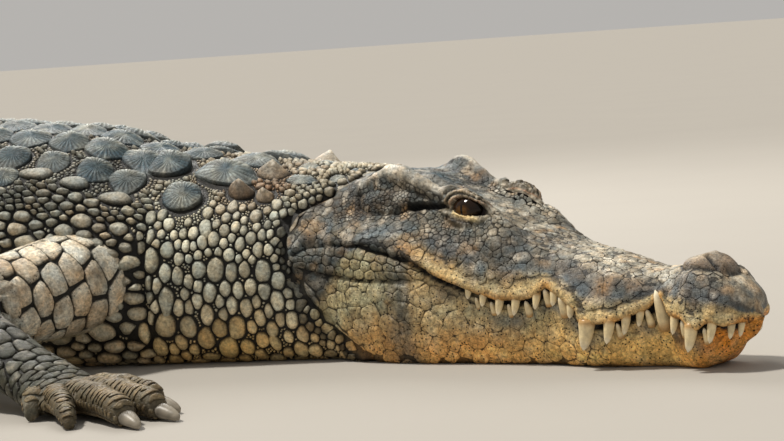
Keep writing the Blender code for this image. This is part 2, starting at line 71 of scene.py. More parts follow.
CHEEK_OUT = {0: 0.8, 1: 2.9, 2: 3.9, 4: 4.9, 6: 5.0, 8: 4.6, 10: 4.2, 12.5: 4.9, 15: 6.0,
             18: 6.6, 24: 6.5, 27: 6.8, 30: 7.1, 34: 6.9, 39: 6.9, 42: 7.1, 45: 7.6, 48: 8.6,
             52: 10.2}
CHEEK_UP = {0: 6.0, 1: 7.0, 2: 7.8, 4: 8.8, 6: 9.2, 8: 8.8, 10: 8.7, 12.5: 8.5, 15: 8.7,
            18: 9.3, 21: 10.3, 24: 11.2, 27: 12.6, 30: 14.4, 33: 16.0, 36: 16.5, 39: 17.0,
            42: 17.8, 45: 18.2, 48: 18.0, 52: 17.0}
FACE_OUT = {0: 0.9, 1: 3.1, 2: 4.2, 4: 5.3, 6: 5.6, 8: 5.3, 10: 4.75, 12.5: 5.4, 15: 6.9,
            18: 7.65, 21: 7.5, 24: 7.4, 27: 7.8, 30: 8.4, 33: 8.8, 36: 9.1, 39: 9.4, 42: 9.8,
            45: 10.3, 48: 11.0, 52: 12.0}
FACE_UP = {0: 5.7, 1: 6.3, 2: 6.9, 4: 6.9, 6: 7.2, 8: 7.5, 10: 8.4, 12.5: 7.5, 15: 7.2, 18: 7.4,
           21: 9.4, 24: 10.2, 27: 10.3, 30: 10.9, 33: 11.9, 36: 13.2, 39: 14.4, 42: 15.3,
           45: 16.0, 48: 16.0, 52: 15.4}
LIP_OUT = {0: 0.9, 0.5: 2.3, 1: 3.2, 2: 4.3, 3: 4.97, 4: 5.37, 5.6: 5.65, 7: 5.5, 8.2: 5.1,
           9.6: 4.75, 11.5: 5.2, 14: 6.5, 16: 7.4, 18: 7.75, 21: 7.6, 24: 7.6, 27: 8.0, 31: 8.9,
           35: 9.8, 39: 10.7, 43: 11.5, 47: 12.2, 50: 12.6, 56: 12.6}
MOUTH_UP = {0: 5.0, 1.3: 5.0, 2.1: 4.7, 3.3: 5.3, 4.8: 4.5, 6.5: 5.6, 8.5: 5.9, 9.5: 7.6,
            10.1: 7.6, 11: 6.7, 12.6: 6.0, 14.2: 5.4, 16.8: 5.0, 18.6: 5.2, 19.4: 6.7, 20.6: 7.4,
            21.8: 8.2, 23.1: 8.9, 25.2: 7.8, 27: 7.5, 29.1: 7.5, 31.3: 8.0, 34.4: 9.2,
            36.5: 10.0, 38.1: 10.8, 41.5: 12.5, 45.6: 13.9, 51.3: 13.5, 60: 13.0}
JAW_IN = {0: 3.0, 1.2: 3.0, 2: 2.1, 3: 1.5, 5: 1.1, 10: 0.8, 28: 0.9, 38: 0.6, 44: 0.1, 60: 0.0}
JOWL_IN = {0: 3.1, 1.2: 3.1, 2: 2.3, 3: 1.6, 5: 1.2, 10: 0.9, 24: 0.7, 34: 0.3, 42: -0.5,
           48: -0.4, 60: 0.0}
CHIN_UP = {0: 4.6, 1.2: 3.6, 2: 2.0, 3: 1.1, 5: 0.5, 10: 0.3, 60: 0.3}
WIDE = {48: 12.6, 56: 13.8, 62: 15.8, 70: 18.2, 78: 19.8, 85: 20.8, 95: 22.0, 110: 24.4,
        128: 25.8, 145: 25.0, 158: 22.0, 168: 18.0, 178: 14.5, 190: 12.5, 210: 10.2, 230: 8.0,
        250: 6.2, 270: 4.7, 290: 3.5, 310: 2.4, 325: 1.6, 338: 0.5}
HIGH = {48: 21.9, 52: 22.3, 57: 23.1, 62: 24.2, 68: 25.5, 74: 26.5, 85: 28.3, 92: 30.5,
        100: 31.6, 115: 32.6, 130: 32.6, 145: 31.4, 158: 29.4, 168: 27.2, 178: 24.8, 190: 22.2,
        210: 19.0, 230: 16.6, 250: 14.2, 270: 11.8, 290: 9.4, 310: 6.6, 325: 4.4, 338: 1.4}
WIDEST_UP = {48: 8.4, 62: 8.2, 85: 9.6, 128: 11.0, 158: 10.5, 178: 9.0, 230: 5.6, 290: 3.2,
             338: 0.6}
SQUARENESS = {48: 2.5, 85: 2.3, 160: 2.3, 185: 1.9, 260: 1.6, 338: 1.6}
SCUTE_DEPTH = {48: 0.2, 56: 0.5, 62: 1.3, 67: 2.0, 86: 2.1, 160: 2.0, 180: 0.9, 240: 0.4,
               338: 0.15}
CREST_UP = {168: 0.6, 180: 1.8, 215: 3.0, 250: 3.9, 270: 4.6, 300: 3.6, 325: 2.0, 338: 0.6}
RAIL_ANGLES = np.radians((0, 13, 27, 42, 58, 74, 88, 98, 122, 145, 162, 180))

UPPER_TEETH = ((1.2, 1.4, 0.34), (1.8, 1.3, 0.36), (3.1, 2.0, 0.45), (5.4, 2.5, 0.62),
               (7.7, 1.7, 0.42), (12.1, 1.4, 0.40), (13.5, 1.7, 0.45), (15.2, 2.2, 0.55),
               (17.8, 2.8, 0.80), (19.9, 1.3, 0.45), (22.2, 1.4, 0.42), (24.7, 1.4, 0.42),
               (27.4, 1.6, 0.45), (29.4, 1.6, 0.45), (31.4, 1.1, 0.40), (33.2, 0.9, 0.36))
LOWER_TEETH = ((3.9, 1.1, 0.38), (6.5, 1.3, 0.40), (9.7, 3.9, 0.68), (11.3, 1.4, 0.38),
               (14.4, 1.1, 0.34), (18.85, 1.1, 0.30), (21.1, 1.9, 0.55), (23.4, 1.4, 0.42),
               (26.1, 1.2, 0.40), (28.4, 0.9, 0.32), (30.5, 0.9, 0.34), (32.4, 0.8, 0.30))
EYE_RUN, EYE_OUT, EYE_UP = 35.4, 4.95, 18.2
LID_MIDDLE = (35.35, 0, 18.4)
NOSE_RUN, NOSE_REACH = 5.9, 3.0

ARMS = {
    "right_arm": ((37, -12, 11.0, 7.6, 6.6), (33.4, -21, 10.6, 7.0, 6.3),
                  (28.6, -29.4, 9.6, 5.6, 5.4), (26.8, -34.4, 8.8, 4.9, 4.9),
                  (29.6, -39.6, 7.6, 4.7, 4.3), (35.6, -43.8, 5.8, 4.2, 3.5),
                  (41.0, -46.6, 4.1, 4.0, 2.7)),
    "left_arm": ((37, 12, 11.2, 7.6, 6.6), (33, 21.4, 10.6, 7.0, 6.3),
                 (26.6, 29.6, 9.6, 5.6, 5.4), (24.2, 34.6, 8.8, 4.9, 4.9),
                 (26.8, 39.8, 7.4, 4.7, 4.3), (32.4, 44.2, 5.6, 4.2, 3.5),
                 (37.2, 47.6, 4.0, 4.0, 2.7)),
    "right_leg": ((-37, -8, 12.8, 9.8, 9.2), (-31, -18, 12.8, 9.0, 8.6),
                  (-22.6, -29, 12.6, 7.0, 7.0), (-18.6, -35, 11.4, 5.6, 5.8),
                  (-22.6, -40.2, 9.2, 5.2, 5.2), (-30, -43.4, 6.4, 4.5, 4.1),
                  (-33.8, -45.8, 4.0, 4.2, 3.2)),
    "left_leg": ((-38, 8, 12.8, 9.8, 9.2), (-35, 19, 12.6, 9.0, 8.4),
                 (-29, 30.5, 12.0, 7.0, 6.8), (-27.0, 36.8, 10.8, 5.6, 5.6),
                 (-32.4, 40.8, 8.8, 5.2, 5.0), (-40.4, 43.6, 6.0, 4.5, 3.9),
                 (-44.8, 46.2, 3.8, 4.2, 3.0)),
}
DIGITS = {
    "right_arm": ((60.8, -50.8), (62.6, -55.4), (60.0, -59.8), (52.6, -60.4), (45.2, -55.6)),
    "left_arm": ((55.2, 52.0), (56.0, 57.6), (51.6, 61.8), (43.6, 62.8), (37.2, 57.0)),
    "right_leg": ((-9.4, -50.6), (-8.2, -56.6), (-12.6, -62.4), (-21.4, -63.8)),
    "left_leg": ((-21.4, 53.4), (-21.2, 59.8), (-26.6, 65.0), (-35.6, 65.8)),
}
HAND = dict(palm=8.6, wide=4.9, digit=1.8, tip=1.3, claw=3.2)
FOOT = dict(palm=12.4, wide=5.2, digit=1.9, tip=1.35, claw=3.6)


# ---- shared geometry

def curve_through(table):
    """A smooth function of numbers or arrays through the table's points, with no overshoot."""
    x = np.array(sorted(table), float)
    y = np.array([table[k] for k in sorted(table)], float)
    step = np.diff(x)
    rise = np.diff(y) / step
    slope = np.zeros(len(x))
    for i in range(1, len(x) - 1):
        if rise[i - 1] * rise[i] > 0:
            a, b = 2 * step[i] + step[i - 1], step[i] + 2 * step[i - 1]
            slope[i] = (a + b) / (a / rise[i - 1] + b / rise[i])
    slope[0], slope[-1] = rise[0], rise[-1]

    def value(at):
        at = np.clip(at, x[0], x[-1])
        i = np.clip(np.searchsorted(x, at, side="right") - 1, 0, len(x) - 2)
        t = (at - x[i]) / step[i]
        keep = (1 + 2 * t) * (1 - t) ** 2 * y[i] + t * t * (3 - 2 * t) * y[i + 1]
        lean = t * (1 - t) ** 2 * slope[i] - t * t * (1 - t) * slope[i + 1]
        return keep + step[i] * lean

    return value


def smooth_step(t):
    t = np.clip(t, 0.0, 1.0)
    return t * t * (3 - 2 * t)


def fade(value, start, end):
    """0 at start and 1 at end, smoothly."""
    return smooth_step((value - start) / (end - start))


def hill(value, middle, reach):
    """1 at the middle, falling away evenly on both sides."""
    return np.exp(-((value - middle) / reach) ** 2)


def lumps(p, size, seed=0):
    """Smooth noise from -1 to 1 over points, in lumps of about this size."""
    q = np.asarray(p, float) / size + seed * 19.19
    low = np.floor(q)
    f = q - low
    f = f * f * (3 - 2 * f)
    total = 0.0
    for dx in (0, 1):
        for dy in (0, 1):
            for dz in (0, 1):
                h = np.sin((low[..., 0] + dx) * 127.1 + (low[..., 1] + dy) * 311.7
                           + (low[..., 2] + dz) * 74.7) * 43758.5453
                h -= np.floor(h)
                weight = ((f[..., 0] if dx else 1 - f[..., 0])
                          * (f[..., 1] if dy else 1 - f[..., 1])
                          * (f[..., 2] if dz else 1 - f[..., 2]))
                total = total + h * weight
    return total * 2 - 1


turn, head_top, ridge_out, ridge_up = map(curve_through, (TURN, HEAD_TOP, RIDGE_OUT, RIDGE_UP))
cheek_out, cheek_up, face_out = map(curve_through, (CHEEK_OUT, CHEEK_UP, FACE_OUT))
face_up, lip_out, mouth_up = map(curve_through, (FACE_UP, LIP_OUT, MOUTH_UP))
jaw_in, jowl_in, chin_up = map(curve_through, (JAW_IN, JOWL_IN, CHIN_UP))
wide, high, widest_up = map(curve_through, (WIDE, HIGH, WIDEST_UP))
squareness, crest_up, scute_depth = map(curve_through, (SQUARENESS, CREST_UP, SCUTE_DEPTH))


def spine_line(step=0.25):
    runs = np.arange(0, TOTAL_LENGTH + step, step)
    angle = np.radians(turn(runs + step / 2))
    x = np.concatenate([[0], np.cumsum(-np.cos(angle) * step)[:-1]])
    y = np.concatenate([[0], np.cumsum(-np.sin(angle) * step)[:-1]])
    middle = int(MIDDLE_RUN / step)
    return runs, x - x[middle], y - y[middle]


SPINE = spine_line()


def place(run, out, up):
    """World points, in centimetres, for runs, distances to the left and heights."""
    run, out, up = np.broadcast_arrays(np.asarray(run, float), out, up)
    angle = np.radians(turn(run))
    ahead = np.minimum(run, 0.0)
    x = np.interp(run, SPINE[0], SPINE[1]) - np.sin(angle) * out - np.cos(angle) * ahead
    y = np.interp(run, SPINE[0], SPINE[2]) + np.cos(angle) * out - np.sin(angle) * ahead
    return np.stack([x, y, up + 0.0 * x], axis=-1)


def middle_of(node):
    """The middle of a solid's box, in centimetres."""
    low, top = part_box(node)
    return np.array((low + top) / 2) / CM


# The spine is laid so that its eye falls on the solid eye.
AXIS_SHIFT = middle_of("eye_left") - place(EYE_RUN, EYE_OUT, EYE_UP)


def whorl_edges():
    sizes = np.linspace(6.4, 3.0, WHORLS)
    sizes *= (TOTAL_LENGTH - 2 - TRUNK_END) / sizes.sum()
    return TRUNK_END + np.concatenate([[0], np.cumsum(sizes)])


WHORL = whorl_edges()


def head_rails(run):
    lip, mouth = lip_out(run), mouth_up(run)
    under = np.maximum(lip - jaw_in(run), 0.2)
    jowl = np.maximum(lip - jowl_in(run), 0.2)
    chin = np.minimum(chin_up(run), mouth - 0.35)
    edge = chin + np.minimum(0.6, 0.3 * (mouth - chin))
    low = chin * 0.8 * (1 - fade(run, 1.8, 6.5))
    face = np.maximum(face_up(run), mouth + 1.1)
    cheek = np.maximum(cheek_up(run), face + 0.25)
    ridge = np.maximum(ridge_up(run), cheek + 0.25)
    top = np.maximum(head_top(run), ridge - 2.4)
    out = [0 * run, 0.55 * ridge_out(run), ridge_out(run), cheek_out(run), face_out(run), lip,
           lip - 0.15, under, jowl, jowl * 0.9, jowl * (0.68 + 0.18 * fade(run, 14, 34)), 0 * run]
    up = [top, top * 0.8 + np.minimum(ridge, top) * 0.2, ridge, cheek, face, mouth + 0.75,
          mouth, mouth - 0.15, np.maximum(mouth * 0.5, (mouth + edge) / 2 - 0.1), edge, low, low]
    return np.stack(out, -1), np.stack(up, -1)


def body_rails(run):
    half, level, power = wide(run), widest_up(run), 2 / squareness(run)
    top = high(run)
    outs, ups = [], []
    for a in RAIL_ANGLES:
        c, s = math.cos(a), math.sin(a)
        if a <= math.pi / 2:
            outs.append(half * max(s, 0) ** power)
            ups.append(level + (top - level) * max(c, 0) ** power)
        else:
            outs.append(half * max(s, 0) ** 0.55 if a < math.pi - 1e-6 else 0 * half)
            ups.append(np.maximum(level - (level + 1.5) * (-c) ** 0.6, 0.0))
    return np.stack(outs, -1), np.stack(ups, -1)


def rails_at(run):
    share = fade(run, 48, 57)[..., None]
    head, body = head_rails(run), body_rails(run)
    return head[0] * (1 - share) + body[0] * share, head[1] * (1 - share) + body[1] * share


def through_rows(values, count, flat_ends):
    """Each row's points joined by a smooth curve and read at count even places."""
    rise = np.diff(values, axis=1)
    slope = np.zeros_like(values)
    before, after = rise[:, :-1], rise[:, 1:]
    same = before * after > 0
    safe = np.where(same, before + after, 1.0)
    slope[:, 1:-1] = np.where(same, 2 * before * after / safe, 0.0)
    if not flat_ends:
        slope[:, 0], slope[:, -1] = rise[:, 0], rise[:, -1]
    at = np.linspace(0, values.shape[1] - 1, count)
    i = np.minimum(at.astype(int), values.shape[1] - 2)
    t = at - i
    keep = (1 + 2 * t) * (1 - t) ** 2 * values[:, i] + t * t * (3 - 2 * t) * values[:, i + 1]
    return keep + t * (1 - t) ** 2 * slope[:, i] - t * t * (1 - t) * slope[:, i + 1]


def unit(v, least=1e-9):
    """Vectors brought to length 1."""
    return v / np.maximum(np.linalg.norm(v, axis=-1, keepdims=True), least)


def normals_of(grid):
    """Outward unit normals of a grid of points whose second axis goes once round."""
    wrapped = np.concatenate([grid[:, -1:], grid, grid[:, :1]], axis=1)
    return unit(np.cross((wrapped[:, 2:] - wrapped[:, :-2]) / 2, np.gradient(grid, axis=0)))


class Hide:
    """A tube of points: runs along it, and an even grid round it from -1 to 1."""

    def __init__(self, runs, grid, rails=None, local=None):
        self.runs, self.grid, self.rails, self.local = runs, grid, rails, local
        self.normals = normals_of(grid)

    def at(self, s, c):
        """Point and normal of a place on the hide."""
        s = np.clip(s, self.runs[0], self.runs[-1])
        i = np.clip(np.searchsorted(self.runs, s, side="right") - 1, 0, len(self.runs) - 2)
        u = ((s - self.runs[i]) / (self.runs[i + 1] - self.runs[i]))[..., None]
        m = self.grid.shape[1]
        q = (np.asarray(c) + 1) / 2 * m
        j = np.floor(q).astype(int)
        v = (q - j)[..., None]
        j0, j1 = j % m, (j + 1) % m
        point, n = ((a[i, j0] * (1 - v) + a[i, j1] * v) * (1 - u)
                    + (a[i + 1, j0] * (1 - v) + a[i + 1, j1] * v) * u for a in (self.grid, self.normals))
        return point, unit(n)

    def local_at(self, s, c):
        """Run, distance out and height of a place on the hide."""
        s, c = np.broadcast_arrays(np.clip(s, self.runs[0], self.runs[-1]), c)
        i = np.clip(np.searchsorted(self.runs, s), 0, len(self.runs) - 1)
        j = np.round((c + 1) / 2 * self.grid.shape[1]).astype(int) % self.grid.shape[1]
        return self.local[i, j]

    def frame(self, s, c):
        """Point, normal, way along, way round, and centimetres per unit of run and of girth."""
        point, n = self.at(s, c)
        along = (self.at(s + 0.35, c)[0] - self.at(s - 0.35, c)[0]) / 0.7
        around = (self.at(s, c + 0.012)[0] - self.at(s, c - 0.012)[0]) / 0.024
        per_run = np.maximum(np.linalg.norm(along, axis=-1), 0.3)
        per_girth = np.maximum(np.linalg.norm(around, axis=-1), 0.5)
        t = along / per_run[..., None]
        t = unit(t - n * np.sum(t * n, axis=-1, keepdims=True), 1e-6)
        return point, n, t, np.cross(t, n), per_run, per_girth

    def girth_size(self, s, c):
        """Centimetres per unit of girth at one place."""
        return self.frame(np.array([s]), np.array([c]))[5][0]

    def skew(self, s, c):
        """How far the grid's way round leans along, for each centimetre square across."""
        _, _, t, b, _, _ = self.frame(s, c)
        around = self.at(s, c + 0.012)[0] - self.at(s, c - 0.012)[0]
        across = np.sum(around * b, axis=-1)
        return np.clip(np.sum(around * t, axis=-1) / np.maximum(across, 1e-4), -1.5, 1.5)

    def rail_place(self, s, k):
        """The girth place, from 0 to 1, of one of the section's rails."""
        return np.interp(s, self.runs, self.rails[:, k])

    def rail_at(self, s, c):
        """Which rail a place lies on, from 0 at the top line to 11 at the belly line."""
        s, c = np.broadcast_arrays(s, np.abs(c))
        row = np.interp(s, self.runs, np.arange(len(self.runs)))
        low = np.minimum(row.astype(int), len(self.runs) - 2)
        t = row - low
        result = np.zeros(s.shape)
        for k in range(self.rails.shape[1] - 1):
            a, b = (self.rails[low, n] * (1 - t) + self.rails[low + 1, n] * t for n in (k, k + 1))
            result = np.where((c >= a) & (c <= b), k + (c - a) / np.maximum(b - a, 1e-6), result)
        return result


# ---- the body's form

def line_distance(p, points):
    """Distance from points to a line of straight lengths, with how far along it they lie."""
    best = np.full(p.shape[:-1], 1e9)
    along = np.zeros(p.shape[:-1])
    points = np.array(points, float)
    if len(points) == 1:
        return np.linalg.norm(p - points[0], axis=-1), along
    for k, (a, b) in enumerate(zip(points, points[1:])):
        ab = b - a
        t = np.clip(((p - a) @ ab) / (ab @ ab), 0, 1)
        d = np.linalg.norm(p - (a + t[..., None] * ab), axis=-1)
        near = d < best
        best = np.where(near, d, best)
        along = np.where(near, (k + t) / (len(points) - 1), along)
    return best, along


def stroke(local, points, reach, lift, power=2.0, taper=0.0):
    """Height to add near a line given as (run, out, up) points, alike on both sides."""
    p = np.stack([local[..., 0], np.abs(local[..., 1]), local[..., 2]], -1)
    low, hi = np.min(points, axis=0) - 3 * reach, np.max(points, axis=0) + 3 * reach
    inside = np.all((p > low) & (p < hi), axis=-1)
    height = np.zeros(p.shape[:-1])
    d, along = line_distance(p[inside], points)
    fall = 1 - taper * np.abs(2 * along - 1) ** 2
    height[inside] = lift * fall * np.exp(-(d / reach) ** power)
    return height


UPPER_LID = [(38.2, 5.8, 18.1), (37.2, 5.75, 19.1), (35.9, 5.7, 19.75), (34.4, 5.75, 19.7),
             (33.2, 5.95, 18.9), (32.5, 6.2, 17.8)]
LOWER_LID = [(38.0, 6.4, 17.5), (36.8, 6.75, 16.75), (35.3, 6.95, 16.5), (33.9, 6.85, 16.7),
             (32.8, 6.45, 17.3)]
NOSTRIL = [(3.8, 1.85, 0.0), (4.6, 1.7, 0.0), (5.4, 1.3, 0.0)]
EAR_SLIT = [(37.8, 6.5, 18.3), (40.4, 6.85, 18.3), (43.0, 7.15, 18.15)]
EAR_FLAP = [(42.5, 7.2, 18.2), (45.0, 7.9, 17.3), (47.6, 8.5, 17.2), (49.6, 8.6, 18.2),
            (50.2, 8.0, 19.8)]
SQUAMOSAL = [(38.6, 5.3, 19.9), (41.0, 5.7, 20.9), (43.5, 6.2, 22.0), (46.0, 6.6, 22.7),
             (49.0, 7.0, 22.2), (51.6, 7.0, 21.8)]
RICTUS_TOP = [(38.5, 10.6, 11.1), (41.6, 11.0, 12.5), (46.8, 12.1, 14.0), (51.7, 12.6, 14.3),
              (55.6, 13.2, 14.0), (57.4, 13.6, 13.2)]
RICTUS_LOW = [(38.6, 10.7, 10.2), (41.6, 11.3, 10.0), (46.9, 12.3, 10.0), (52.1, 12.8, 10.6),
              (56.0, 13.6, 11.5)]
HEAD_EDGE = [(54.6, 8.6, 20.3), (58.4, 11.6, 18.4), (59.2, 13.4, 15.6), (58.6, 14.2, 12.6),
             (57.4, 14.2, 10.2), (55.0, 13.4, 7.0), (52.0, 12.5, 3.6), (47.5, 11.2, 0.6)]
HEAD_REACH = ((0, 1.6, 2.6, 3.6, 4.8, 5.6, 6.2, 8.0, 9.8, 11),
              (52.6, 53.0, 55.4, 59.0, 58.8, 58.2, 57.0, 53.2, 47.8, 45.0))


def behind_head(s, q):
    """How far behind the head's last plates a place lies, in centimetres."""
    return s - np.interp(q, *HEAD_REACH)


def slit_share(p, reach):
    """1 in the ear's slit, by run and height alone."""
    line = [(run, 0, up) for run, _, up in EAR_SLIT]
    share = stroke(p * (1, 0, 1), line, reach, 1.0, 4)
    return np.where((np.abs(p[..., 1]) > 4) & (p[..., 2] > 15), share, 0.0)


def eye_place(local):
    """Where a point lies on the eye's opening, as (along, up) from its middle."""
    along = local[..., 0] - 34.75
    return along, local[..., 2] - 17.8 - 0.16 * along


def upper_lid_height(along):
    """The eye's opening above its middle: highest behind, sloping down to the front corner."""
    return 1.28 + 0.1 * np.clip(along / 2.2, -1, 0.6)


def eye_opening(local):
    """Below 1 inside the almond of the eye's opening."""
    along, up = eye_place(local)
    near = (np.abs(local[..., 1]) > 5.0) & (local[..., 2] > 14)
    wide_part = np.abs(along) / np.where(along < 0, 3.15, 2.5)
    round_off = np.maximum(1 - wide_part ** 2, 0.0) ** np.where(along < 0, 0.9, 0.5)
    tall = np.where(up > 0, upper_lid_height(along), 0.5) * round_off + 0.03
    return np.where(near, np.maximum(wide_part, np.abs(up) / tall), 9.0)


def moved_line(line, out, up):
    return [(p[0], p[1] + out, p[2] + up) for p in line]


# Rows of line, reach, height (below 0 for a groove), power and taper.
EYE_STROKES = (
    # Lids and the bony rim over the eye.
    (UPPER_LID, 0.62, 0.55, 3, 0.25),
    (LOWER_LID, 0.42, 0.42, 3, 0.3),
    (moved_line(LOWER_LID, 0.15, -0.85), 0.35, -0.16),
    ([(37.6, 4.4, 20.0), (36, 4.1, 20.4), (34, 4.1, 20.3), (32.4, 4.7, 19.2)], 1.1, 0.5),
    ([(33.4, 5.1, 19.7), (35.4, 4.9, 20.4), (37.4, 5.1, 19.9)], 0.2, -0.14),
    ([(32.2, 6.2, 17.6), (30.6, 6.6, 16.2), (29.0, 6.7, 15.0)], 0.7, 0.42, 2, 0.4),
    ([(31.0, 5.4, 17.6), (29.3, 5.6, 16.2), (27.6, 5.3, 15.0)], 0.6, 0.35, 2, 0.4),
    ([(31.9, 5.8, 17.8), (30.2, 6.1, 16.5), (28.4, 6.2, 15.2)], 0.3, -0.22),
    # The skull table's edge.
    (SQUAMOSAL, 1.0, 0.8, 2.5),
    ([(40.0, 3.2, 20.0), (45.0, 3.6, 21.6)], 2.0, -0.35),
)
FACE_STROKES = (
    # Ear flap.
    (moved_line(EAR_SLIT, 0.1, -0.75), 0.4, 0.22),
    ([(43.6, 7.2, 19.0), (47.6, 8.0, 18.8)], 1.6, 0.6, 2.6),
    (EAR_FLAP, 0.32, -0.5, 2, 0.2),
    ([(39.5, 6.3, 19.2), (43.0, 7.0, 20.1), (46.4, 7.8, 20.6), (50.4, 8.6, 20.2)], 0.55, -0.6),
    ([(34.0, 4.9, 20.2), (32.8, 5.1, 19.2), (31.6, 5.4, 17.9)], 1.1, -0.95),
    # Brow knobs on the snout's root and the two long rises before the eyes.
    ([(31.5, 2.6, 17.6), (28.8, 2.4, 16.0), (26.8, 2.2, 14.8)], 0.9, 0.3),
    ([(34.0, 1.4, 18.0), (30.0, 0.9, 15.9)], 1.0, -0.25),
    # Fold behind the mouth's corner.
    (RICTUS_TOP, 0.3, -0.65, 2, 0.1),
    (RICTUS_LOW, 0.28, -0.5, 2, 0.3),
    ([(41.0, 11.3, 11.2), (45.4, 12.1, 12.1), (50.4, 12.7, 12.5), (55.4, 13.4, 12.7)], 1.1, 0.22),
    (HEAD_EDGE, 0.6, -0.9),
    ([(55.6, 12.6, 15.4), (57.0, 13.2, 13.8)], 1.0, 0.3),
    # Cheek hollows and swells.
    ([(36.0, 8.2, 14.9), (33.0, 8.0, 13.4), (29.0, 7.6, 12.0)], 1.1, -0.18),
    ([(42.0, 9.0, 15.8), (37.5, 8.9, 13.9)], 1.2, 0.2),
)
NOSE_STROKES = (
    ([(0.6, 0.0, 7.6), (1.2, 2.2, 7.6), (2.8, 4.0, 7.4)], 1.5, 0.4),
    ([(0.0, 0.0, 5.4), (0.6, 2.4, 5.4)], 0.7, -0.4),
    ([(3.6, 0.75, 11.6), (4.6, 1.1, 12.2), (5.6, 1.0, 12.4)], 0.5, 0.28),
)
NOSTRIL_STROKES = (
    ([(2.6, 2.3, 10.4), (3.4, 2.5, 10.6), (4.4, 2.6, 10.7)], 0.35, 0.2),
    ([(3.2, 0.0, 11.4), (8.0, 0.0, 12.2)], 0.4, -0.2),
)
LIP_CLEFTS = (9.9, 19.0, 23.2, 16.4, 14.2, 12.9, 6.7, 3.9)


def head_form(local):
    """Folds, lids, ridges and nostrils, as heights over the plain form."""
    run, out, up = local[..., 0], np.abs(local[..., 1]), local[..., 2]
    h = np.zeros(run.shape)

    def add(rows):
        for row in rows:
            h[...] += stroke(local, *row)

    add(EYE_STROKES)
    h -= 0.9 * slit_share(local, 0.3)
    add(FACE_STROKES)
    # Nostril mound with its two openings.
    spread = np.hypot((run - NOSE_RUN) / NOSE_REACH, out / NOSE_REACH)
    h += 0.3 * np.where(up > 8.0, 1 - fade(spread, 0.72, 1.12), 0.0)
    h -= np.where(up > 8.0, 0.26 * hill(spread, 1.12, 0.11), 0.0)
    add(NOSE_STROKES)
    h -= 0.5 * nostril_share(local, 0.3)
    add(NOSTRIL_STROKES)
    # Bulges over the tooth roots and clefts between them.
    for root, _, radius in UPPER_TEETH:
        spot = (root, float(lip_out(root)), float(mouth_up(root)) + 0.9)
        add([([spot], 0.55 + radius, 0.16 + 0.2 * (radius - 0.3))])
    for cleft in LIP_CLEFTS:
        lip, base = float(lip_out(cleft)), float(mouth_up(cleft))
        add([([(cleft, lip, base), (cleft + 0.25, lip - 0.2, base + 1.7)], 0.2, -0.2, 2)])
    # The lips close on a dark line.
    above = up - mouth_up(run)
    jaws = fade(run, -0.4, 0.8) * (1 - fade(run, 38.5, 42.0))
    side = fade(out, 0.2, 1.0)
    h -= jaws * side * (0.75 + 0.15 * np.sin(run * 2.1)) * hill(above, -0.12, 0.22)
    h += jaws * side * 0.07 * hill(above, 0.62, 0.42)
    h += jaws * side * 0.12 * (1 - fade(np.abs(above - 0.1), 1.0, 1.7))
    # Opening of the eye, sunk so that the ball shows.
    return np.where(eye_opening(local) < 1.0, -0.9, h)


def body_hide():
    """The whole skin from snout tip to tail tip, as one tube."""
    tip = -0.45 * np.sin(np.linspace(math.pi / 2, 0, 7))
    runs = np.concatenate([tip[:-1], np.arange(0, 56, 0.1), np.arange(56, 82, 0.25),
                           np.arange(82, TOTAL_LENGTH - 0.2, 0.5), [TOTAL_LENGTH]])
    outs, ups = rails_at(np.maximum(runs, 0.0))
    round_off = np.sqrt(np.maximum(1 - (np.minimum(runs, 0) / 0.45) ** 2, 0.0))
    round_off = np.maximum(round_off, 0.02)[:, None]
    middle = (mouth_up(np.maximum(runs, 0.0)) + 0.7)[:, None]
    outs, ups = outs * round_off, middle + (ups - middle) * round_off
    # The coat's depth comes off: little on the sides, most under the back's shields.
    top_share = np.clip((np.cos(RAIL_ANGLES) - 0.35) / 0.5, 0, 1)[None, :]
    depth = scute_depth(runs)[:, None] * top_share * fade(runs, 50, 60)[:, None]
    ups = ups - depth - 0.08 * (ups > 0.5)
    outs = outs - 0.12 * np.sign(outs)
    ups = np.maximum(ups, 0.07)
    fine_out = through_rows(outs, 700, False)
    fine_up = through_rows(ups, 700, True)
    seg = np.hypot(np.diff(fine_out, axis=1), np.diff(fine_up, axis=1))
    arc = np.concatenate([np.zeros((len(runs), 1)), np.cumsum(seg, axis=1)], axis=1)
    rail_index = np.linspace(0, 699, 12).round().astype(int)
    rails = arc[:, rail_index] / arc[:, -1:]
    count = 280
    half = np.zeros((len(runs), count + 1, 2))
    for i in range(len(runs)):
        even = np.linspace(0, arc[i, -1], count + 1)
        half[i, :, 0] = np.interp(even, arc[i], fine_out[i])
        half[i, :, 1] = np.interp(even, arc[i], fine_up[i])
    other = half[:, 1:-1][:, ::-1] * (-1, 1)
    ring = np.concatenate([half[:, -1:] * (-1, 1), other, half[:, :-1]], axis=1)
    local = np.concatenate([np.broadcast_to(runs[:, None, None], ring[..., :1].shape), ring], -1)
    return runs, local, rails


def local_normals(local):
    flipped = local * (-1, 1, 1)
    return normals_of(flipped) * (-1, 1, 1)


